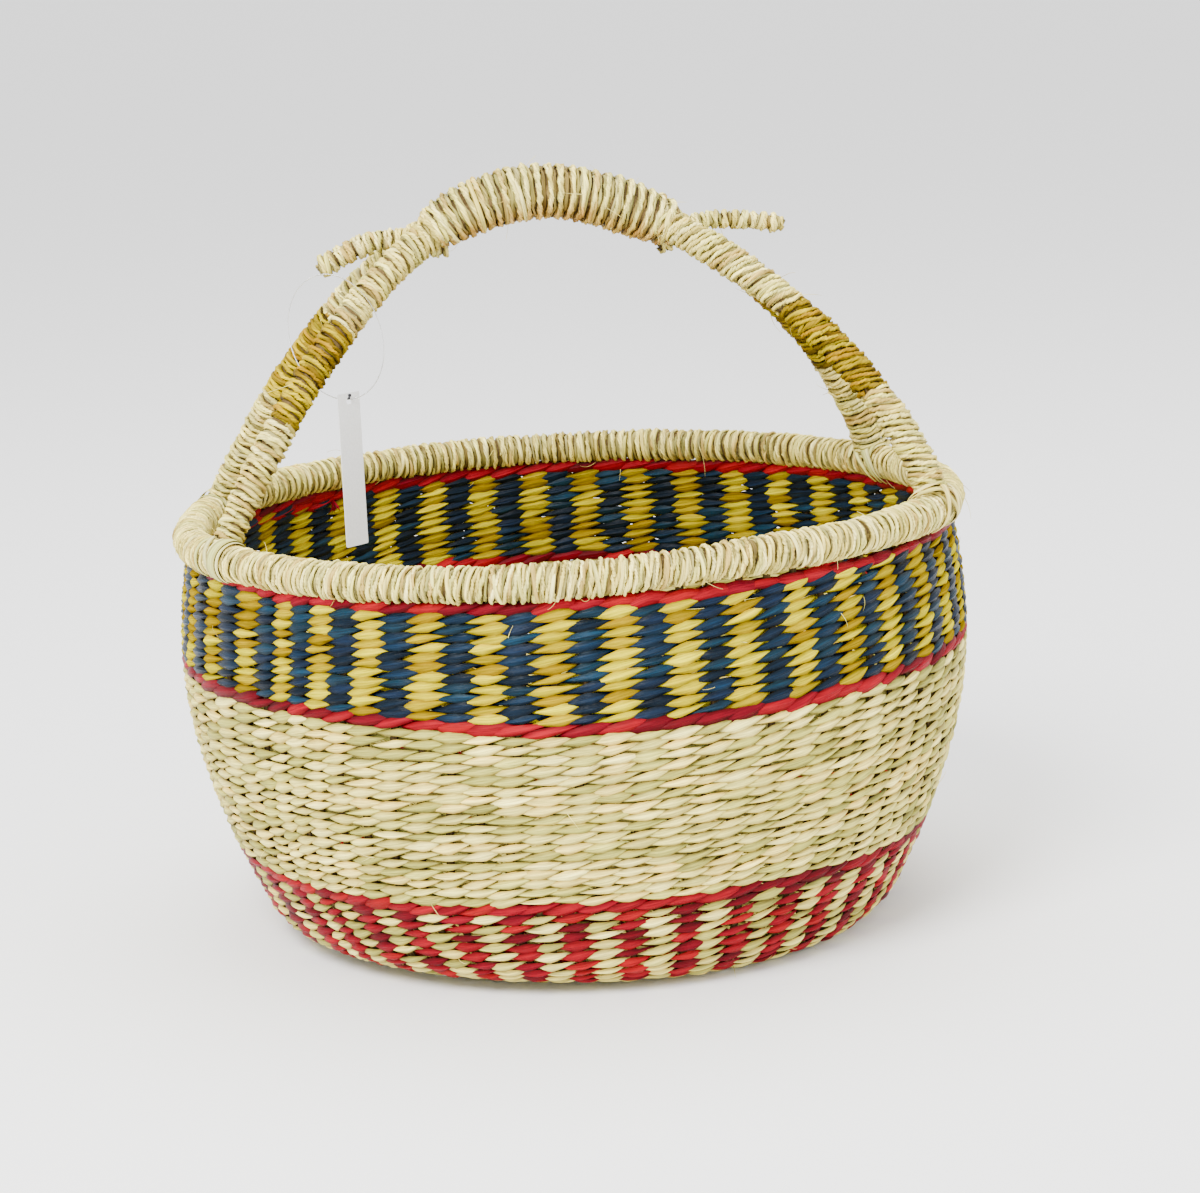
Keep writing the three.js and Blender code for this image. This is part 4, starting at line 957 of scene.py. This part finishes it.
def lay_over(strands, core, span, palette, every, half_width):
    """Short turns that cross over the winding, where the maker laid in a new blade."""
    place = span[0] + rng.uniform(0.3, 1) * every
    while place + OVER_TRAVEL < span[1]:
        turns = rng.uniform(0.45, 0.95)
        heading = rng.choice([-1, 1])
        reach = (place, place + OVER_TRAVEL) if heading > 0 else (place + OVER_TRAVEL, place)
        points, outward = winding_line(core, reach, turns, OVER_STEPS, 0, 0.15, 0.75)
        dive = np.abs(np.linspace(-1, 1, len(points))) ** 6
        points = points - outward * (1.6 * dive)[:, None]
        tint = blade_tints(palette, 1)[0]
        strands.add(points, outward, half_width * (1.05 - 0.7 * dive), 0.6 - 0.3 * dive, tint, grooved=True)
        place += every * rng.uniform(0.6, 1.4)


def fill(name, points, outward, half_width, half_thickness, nodes=(), closed=False):
    """The bundle under a winding, as one swept piece."""
    strands = Strands(ROUND_SECTION)
    strands.add(points, outward, half_width, half_thickness, blade_tints("core", 1)[0], closed, edge=EVEN_EDGE)
    strands.build(name, "core", "bundled_grass", nodes)


# Rim

def rim_point(run):
    angle = run / RIM_RADIUS
    return np.stack([RIM_RADIUS * np.cos(angle), RIM_RADIUS * np.sin(angle), RIM_HEIGHT + rim_drift(angle)], axis=-1)


def rim_frame(run):
    angle = run / RIM_RADIUS
    side = np.stack([np.cos(angle), np.sin(angle), np.zeros(len(run))], axis=-1)
    return side, np.broadcast_to([0.0, 0.0, 1.0], side.shape)


def rim_radii(run):
    radius = RIM_TUBE_RADIUS - 1.0 + 0.22 * np.sin(run / 17) + 0.16 * np.sin(run / 7.3 + 1)
    return radius, radius


def build_rim():
    left, right = FOOT_ANGLE[LEFT], FOOT_ANGLE[RIGHT]
    sections = [
        ("right", -right, right),
        ("back", right, math.pi - left),
        ("left", math.pi - left, math.pi + left),
        ("front", math.pi + left, TURN - right),
    ]
    for name, start, end in sections:
        span = start * RIM_RADIUS, end * RIM_RADIUS
        core = rim_point, rim_frame, rim_radii
        wrap(f"rim_wrap_{name}", f"rim_binding_{name}", core, span, "straw", **RIM_WINDING)


def build_rim_core():
    run = np.linspace(0, TURN * RIM_RADIUS, RIM_CORE_STEPS + 1)[:-1]
    side, _ = rim_frame(run)
    radius, _ = rim_radii(run)
    radius = radius - RIM_CORE_INSET
    fill("rim_bundle", rim_point(run), side, radius, radius, ["rim_core"], closed=True)


# Lashings: flat green blades that tie each foot to the rim

def foot_name(end, side):
    return f"{SIDE_NAMES[side]}_{END_NAMES[end]}"


def smoothed(points, passes=6):
    for _ in range(passes):
        points = np.vstack([points[:1], (points[:-2] + 2 * points[1:-1] + points[2:]) / 4, points[-1:]])
    return points


def build_lashing(end, side):
    """The blades that tie one foot to the rim."""
    name = foot_name(end, side)
    _, angle = foot_of(end, side)
    strands = Strands()
    towards_end = -end * side
    palette = "straw" if (end, side) == (RIGHT, FRONT) else "green"
    for route, half_width in LASHING_ROUTES[end, side] + SIDE_BLADES:
        share = np.linspace(0, len(route) - 1, ROUTE_STEPS)
        offset, phase, lift = read_line(share, np.arange(len(route)), np.array(route, float)).T
        run = angle * RIM_RADIUS + towards_end * offset + rng.normal(0, 0.3)
        turn = np.radians(phase)
        radius = RIM_TUBE_RADIUS + 0.6 + lift
        level, up = rim_frame(run)
        outward = level * np.cos(turn)[:, None] + up * np.sin(turn)[:, None]
        points = smoothed(rim_point(run) + outward * radius[:, None])
        sag = np.abs(np.linspace(-1, 1, len(points)))
        width = half_width * (1 + 0.1 * rng.normal()) * (1 - 0.55 * sag**5)
        strands.add(points, outward, width, BLADE_HALF_THICKNESS, blade_tints(palette, 1)[0], edge=BLADE_EDGE_SHADE,
                    slope=rng.normal(0, 0.14))
    strands.build(f"{name}_lashing_blades", "green", "green_grass", [f"{name}_lashing"])


# Handle

def foot_of(end, side):
    """Where an arch meets the rim's centre line, and its angle around the basket."""
    angle = side * (FOOT_ANGLE[RIGHT] if end == RIGHT else math.pi - FOOT_ANGLE[LEFT])
    radius = RIM_RADIUS
    if (end, side) == (RIGHT, BACK):
        angle -= BACK_RIGHT_SHIFT
        radius += BACK_RIGHT_OUT
    height = RIM_HEIGHT + float(rim_drift(angle % TURN))
    return np.array([radius * math.cos(angle), radius * math.sin(angle), height]), angle


def splay_at(x, end, side=FRONT):
    foot, _ = foot_of(end, side)
    reach = abs(foot[0] - CROWN_OFFSET) - SPLAY_START
    share = np.maximum(0, (np.abs(x - CROWN_OFFSET) - SPLAY_START) / reach)
    eased = share * share * (1 + SPLAY_EASE) / (share + SPLAY_EASE)
    return GRIP_HALF_SPACING + (abs(foot[1]) - GRIP_HALF_SPACING) * eased


def arch_point(end, side, share):
    foot, _ = foot_of(end, side)
    turn = share * math.pi / 2
    x = CROWN_OFFSET + (foot[0] - CROWN_OFFSET) * np.maximum(0, np.cos(turn)) ** FULLNESS[end]
    z = foot[2] + (CROWN_HEIGHT - foot[2]) * np.sin(turn) ** SQUARENESS[end]
    return np.stack([x, side * splay_at(x, end, side), z], axis=-1)


def arch_line(side, count):
    """Points of a whole arch, from its left foot to its right one."""
    left = arch_point(LEFT, side, np.linspace(0, 1, count))
    right = arch_point(RIGHT, side, np.linspace(1, 0, count))[1:]
    return np.vstack([left, right])


class Path:
    """A line of points, read by the run along it in millimetres."""

    def __init__(self, points):
        self.points = points
        self.run = run_along(points)
        self.length = self.run[-1]
        self.tangents = unit(np.gradient(points, axis=0))

    def point(self, run):
        return read_line(run, self.run, self.points)

    def frame(self, run):
        tangent = unit(read_line(run, self.run, self.tangents))
        up = unit(np.cross(ACROSS, tangent))
        return np.cross(tangent, up), up

    def run_where(self, axis, value):
        values = self.points[:, axis]
        i = int(np.argmax((values[:-1] - value) * (values[1:] - value) <= 0))
        share = (value - values[i]) / (values[i + 1] - values[i])
        return self.run[i] + share * (self.run[i + 1] - self.run[i])


def leg_path(end, side):
    return Path(arch_point(end, side, np.linspace(0, 1, ARCH_STEPS)))


def leg_radii(leg, end, side):
    seed = end + 2 * side

    def radii(run):
        rise = leg.point(run)[:, 2] - leg.points[0, 2]
        radius = np.interp(rise, [0, LEG_TAPER_HEIGHT], [LEG_RADIUS_AT_FOOT[end, side], LEG_RADIUS]) - 1.0
        value = radius + 0.2 * np.sin(run / 11 + seed) + 0.14 * np.sin(run / 4.7 + 2 * seed)
        return value, value
    return radii


def build_leg(end, side):
    name = foot_name(end, side)
    leg = leg_path(end, side)
    core = leg.point, leg.frame, leg_radii(leg, end, side)
    head_stop = leg.run_where(X, GRIP_MIDDLE + end * (GRIP_HALF_LENGTH - HEAD_OVERLAP))
    marks = [HEAD_START, leg.run_where(Z, GOLD_BOTTOM), leg.run_where(Z, GOLD_TOP), head_stop]
    for part, palette, *span in zip(("lower", "gold", "upper"), ("straw", "gold", "straw"), marks, marks[1:]):
        wrap(f"{name}_{part}_wrap", f"{name}_{part}_binding", core, span, palette, tilt=LEG_LEAN[end, side],
             **LEG_WINDING)


def crown_path():
    middle = arch_line(FRONT, ARCH_STEPS)
    middle[:, 1] = 0
    return Path(middle)


CROWN = crown_path()
GRIP_START = CROWN.run_where(X, GRIP_MIDDLE - GRIP_HALF_LENGTH)
GRIP_END = CROWN.run_where(X, GRIP_MIDDLE + GRIP_HALF_LENGTH)


def grip_radii(run):
    x = CROWN.point(run)[:, 0]
    spacing = np.where(x < CROWN_OFFSET, splay_at(x, LEFT), splay_at(x, RIGHT))
    bulge = 0.25 * np.sin(run / 9) + 0.2 * np.sin(run / 4.1)
    from_end = np.minimum(run - GRIP_START, GRIP_END - run)
    height = np.interp(from_end, [0, 7, 24], [GRIP_END_HALF_HEIGHT, 12.6, GRIP_HALF_HEIGHT])
    return height - 1.1 + bulge, spacing + LEG_RADIUS - 1.0 + bulge


def build_grip():
    core = CROWN.point, CROWN.frame, grip_radii
    wrap("grip_wrap", "grip_binding", core, (GRIP_START, GRIP_END), "straw", **GRIP_WINDING)


def build_horn(end):
    name = END_NAMES[end]
    run = np.array([GRIP_START if end == LEFT else GRIP_END])
    _, up = CROWN.frame(run)
    root = CROWN.point(run)[0] + up[0] * HORN_ROOT_RISE
    drop = HORN_TIP_HEIGHT[end] - root[2]
    tip = root + np.array([end * math.sqrt(HORN_LENGTH[end]**2 - drop**2), 0, drop])
    share = np.linspace(*HORN_SPAN, 60)[:, None]
    line = root + (tip - root) * share
    line[:, 2] += HORN_BOW * np.sin(math.pi * share[:, 0].clip(0, 1) ** HORN_BOW_EARLY[end])
    path = Path(line)

    def radii(at):
        left = np.clip((path.length - at) / HORN_ROUNDING, 0.02, 1)
        value = HORN_RADIUS[end] * np.sqrt(1 - (1 - left) ** 2) * (1 + 0.05 * np.sin(at / 3.1))
        return value, value

    core = path.point, path.frame, radii
    wrap(f"{name}_horn_wrap", f"{name}_horn_binding", core, (0, path.length), "straw", **HORN_WINDING)
    run = np.linspace(0, path.length, 30)
    radius = HORN_CORE_SHARE * radii(run)[0]
    fill(f"{name}_horn_bundle", path.point(run), ACROSS, radius, radius, [f"{name}_horn_core"])


def build_handle_cores():
    for side, name in SIDE_NAMES.items():
        points = arch_line(side, CORE_STEPS)
        rise = np.minimum(points[:, 2] - points[0, 2], 400)
        radius = np.interp(rise, [0, LEG_TAPER_HEIGHT], [CORE_RADIUS_AT_FOOT, LEG_RADIUS - LEG_CORE_INSET])
        fill(f"{name}_arch_bundle", points, ACROSS, radius, radius, [f"{name}_arch_core"])
    run = np.linspace(GRIP_START + 2, GRIP_END - 2, 40)
    height, width = grip_radii(run)
    _, up = CROWN.frame(run)
    fill("grip_bundle", CROWN.point(run), up, width - GRIP_CORE_INSET, height - GRIP_CORE_INSET)


# Tag

SEAT = np.array(frame["joints"][0]["pos_m"]) / MM
LEG_AXIS = np.array(frame["joints"][0]["axis"])


def build_loop():
    level = unit(LEG_AXIS * [1, 1, 0])
    sideways = np.array([level[1], -level[0], 0])
    loop_up = np.array([0, 0, math.cos(LOOP_LEAN)]) - level * math.sin(LOOP_LEAN)
    cos, sin = circle(LOOP_STEPS).T[..., None]
    points = SEAT + (level * LOOP_HALF_WIDTH + sideways * LOOP_BOW) * cos + loop_up * LOOP_HALF_HEIGHT * sin
    loop = Strands(SECTION)
    loop.add(points, sideways, FILAMENT_RADIUS, FILAMENT_RADIUS, (1, 1, 1), closed=True, edge=EVEN_EDGE)
    loop.build("tag_filament", "filament", "clear_filament", ["tag_loop"], "tag_loop")
    turn = np.arange(LOCK_STEPS) * TURN / LOCK_STEPS
    trefoil = np.stack([np.sin(turn) + 2 * np.sin(2 * turn), np.sin(3 * turn), np.cos(turn) - 2 * np.cos(2 * turn)],
                       axis=-1)
    low = points[np.argmin(points[:, 2])] + [0, 0, LOCK_RISE]
    lock = Strands(SECTION)
    lock.add(low + LOCK_SIZE * trefoil, ACROSS, LOCK_RADIUS, LOCK_RADIUS, (1, 1, 1), closed=True, edge=EVEN_EDGE)
    lock.build("tag_lock", "knot", "clear_filament", [], "tag_loop")


def card_outline():
    """The card's corners, rounded, in its own plane with the hole at the origin."""
    half, top, bottom = CARD_WIDTH / 2, HOLE_INSET, HOLE_INSET - CARD_LENGTH
    points = []
    for x, y, start in ((half, top, 0), (-half, top, 90), (-half, bottom, 180), (half, bottom, 270)):
        centre = x - math.copysign(CARD_CORNER, x), y + (-CARD_CORNER if y == top else CARD_CORNER)
        for step in range(5):
            turn = math.radians(start + 22.5 * step)
            points.append((centre[0] + CARD_CORNER * math.cos(turn), centre[1] + CARD_CORNER * math.sin(turn)))
    return points


def build_card():
    low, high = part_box("tag_card")
    middle = (np.array(low) + np.array(high)) / 2 / MM
    across = unit(np.array([high[0] - low[0], high[1] - low[1], 0]))
    facing = np.array([across[1], -across[0], 0])
    hole_height = high[2] / MM - HOLE_INSET
    outline = card_outline()
    hole = [tuple(corner) for corner in HOLE_RADIUS * circle(HOLE_CORNERS)]
    flat = [Vector((x, y, 0)) for x, y in outline], [Vector((x, y, 0)) for x, y in hole]
    faces = tessellate_polygon(flat)
    corners = np.array(outline + hole)
    count = len(corners)
    sheets = []
    for offset in (CARD_THICKNESS / 2, -CARD_THICKNESS / 2):
        place = np.array([middle[0], middle[1], hole_height]) + corners[:, :1] * across + offset * facing
        sheets.append(place + corners[:, 1:] * np.array([0, 0, 1.0]))
    vertices = np.vstack(sheets) * MM
    polygons = [tuple(face) for face in faces] + [tuple(count + k for k in reversed(face)) for face in faces]
    for ring in (range(len(outline)), range(len(outline), count)):
        ring = list(ring)
        for k, after in zip(ring, ring[1:] + ring[:1]):
            polygons.append((k, after, after + count, k + count))
    mesh = bpy.data.meshes.new("blank_card")
    mesh.from_pydata(vertices.tolist(), [], polygons)
    tidy = bmesh.new()
    tidy.from_mesh(mesh)
    bmesh.ops.recalc_face_normals(tidy, faces=tidy.faces)
    tidy.to_mesh(mesh)
    tidy.free()
    dress(add_object("blank_card", mesh), "card", ["tag_card"], "tag_card")


# Loose ends: fine fibres that stand off the wraps and the wall

def build_fibres():
    strands = Strands(HAIR_SECTION)
    legs = [leg_path(*foot) for foot in FEET]
    for k in range(FIBRES):
        where = k % 3
        if where == 0:
            run = np.array([rng.uniform(0, TURN * RIM_RADIUS)])
            centre, (level, up) = rim_point(run)[0], rim_frame(run)
            radius = RIM_TUBE_RADIUS
        elif where == 1:
            leg = legs[rng.integers(4)]
            run = np.array([rng.uniform(0.05, 0.98) * leg.length])
            centre, (level, up) = leg.point(run)[0], leg.frame(run)
            radius = LEG_RADIUS
        else:
            angle = np.array([rng.uniform(0, TURN)])
            stop = np.array([rng.uniform(LOWER_STOPS[0], TOP_RED)])
            point, outward = wall_point(angle, stop, np.zeros(1))
            centre, level, up = point[0], outward, np.array([[0.0, 0.0, 1.0]])
            radius = 0
        phase = rng.uniform(0, TURN) if where < 2 else 0
        out = unit(level[0] * math.cos(phase) + up[0] * math.sin(phase))
        along = unit(np.cross(out, rng.normal(0, 1, 3)))
        length = rng.uniform(6, 20) if where < 2 else rng.uniform(5, 13)
        share = np.linspace(0, 1, 12)[:, None]
        lean = rng.uniform(0.25, 0.9)
        points = (centre + out * (radius - 0.6) + length * share * (out * lean + along * (1 - 0.4 * lean))
                  - length * 0.35 * share**2 * out + rng.normal(0, 0.12, 3) * length * share**2)
        half_width = 0.16 - 0.1 * share[:, 0]
        strands.add(points, along + [0.01, 0.02, 0.03], half_width, half_width, blade_tints("straw", 1)[0],
                    edge=EVEN_EDGE)
    strands.build("loose_fibres", "straw", "wrapping_straw")


# Stage, lights and camera

def build_stage():
    size = FLOOR_HALF_SIZE
    mesh = bpy.data.meshes.new("floor")
    mesh.from_pydata([(-size, -size, 0), (size, -size, 0), (size, size, 0), (-size, size, 0)], [], [(0, 1, 2, 3)])
    floor = add_object("floor", mesh)
    material, tree, shader = new_material("floor")
    feed(tree, shader, {"Base Color": (FLOOR_SHADE, FLOOR_SHADE, FLOOR_SHADE, 1), "Roughness": FLOOR_ROUGHNESS})
    mesh.materials.append(material)


def build_lights():
    world = bpy.data.worlds.new("studio")
    bpy.context.scene.world = world
    world.use_nodes = True
    tree = world.node_tree
    feed(tree, tree.nodes["Background"], {"Color": (1, 1, 1, 1), "Strength": WORLD_STRENGTH})
    for name, place, size, power in LAMPS:
        light = bpy.data.lights.new(name, "AREA")
        light.energy = power
        light.shape = "DISK"
        light.size = size
        lamp = add_object(name, light)
        lamp.location = place
        lamp.rotation_euler = (Vector(LAMP_TARGET) - Vector(place)).to_track_quat("-Z", "Y").to_euler()


def build_camera():
    heading = math.radians(CAMERA_HEADING)
    drop = math.radians(CAMERA_DROP)
    roll = math.radians(CAMERA_ROLL)
    forward = np.array([-math.sin(heading) * math.cos(drop), math.cos(heading) * math.cos(drop), -math.sin(drop)])
    right = np.array([math.cos(heading), math.sin(heading), 0])
    up = np.cross(right, forward)
    tilted_right = math.cos(roll) * right - math.sin(roll) * up
    tilted_up = math.sin(roll) * right + math.cos(roll) * up
    data = bpy.data.cameras.new("photo camera")
    data.sensor_width = SENSOR_WIDTH
    data.sensor_fit = "HORIZONTAL"
    data.lens = SENSOR_WIDTH * FOCAL_PIXELS / IMAGE_WIDTH
    data.clip_end = 50
    camera = add_object("photo camera", data)
    columns = np.stack([tilted_right, tilted_up, -forward, np.array(CAMERA_PLACE) * MM], axis=-1)
    camera.matrix_world = Matrix([*columns.tolist(), [0, 0, 0, 1]])
    bpy.context.scene.camera = camera


build_camera()
build_lights()
build_stage()
build_wall()
build_red_tail()
build_base()
build_stakes()
build_rim()
for end in (LEFT, RIGHT):
    for side in (FRONT, BACK):
        build_leg(end, side)
    build_horn(end)
build_grip()
build_handle_cores()
build_rim_core()
for end, side in FEET:
    build_lashing(end, side)
build_loop()
build_card()
build_fibres()
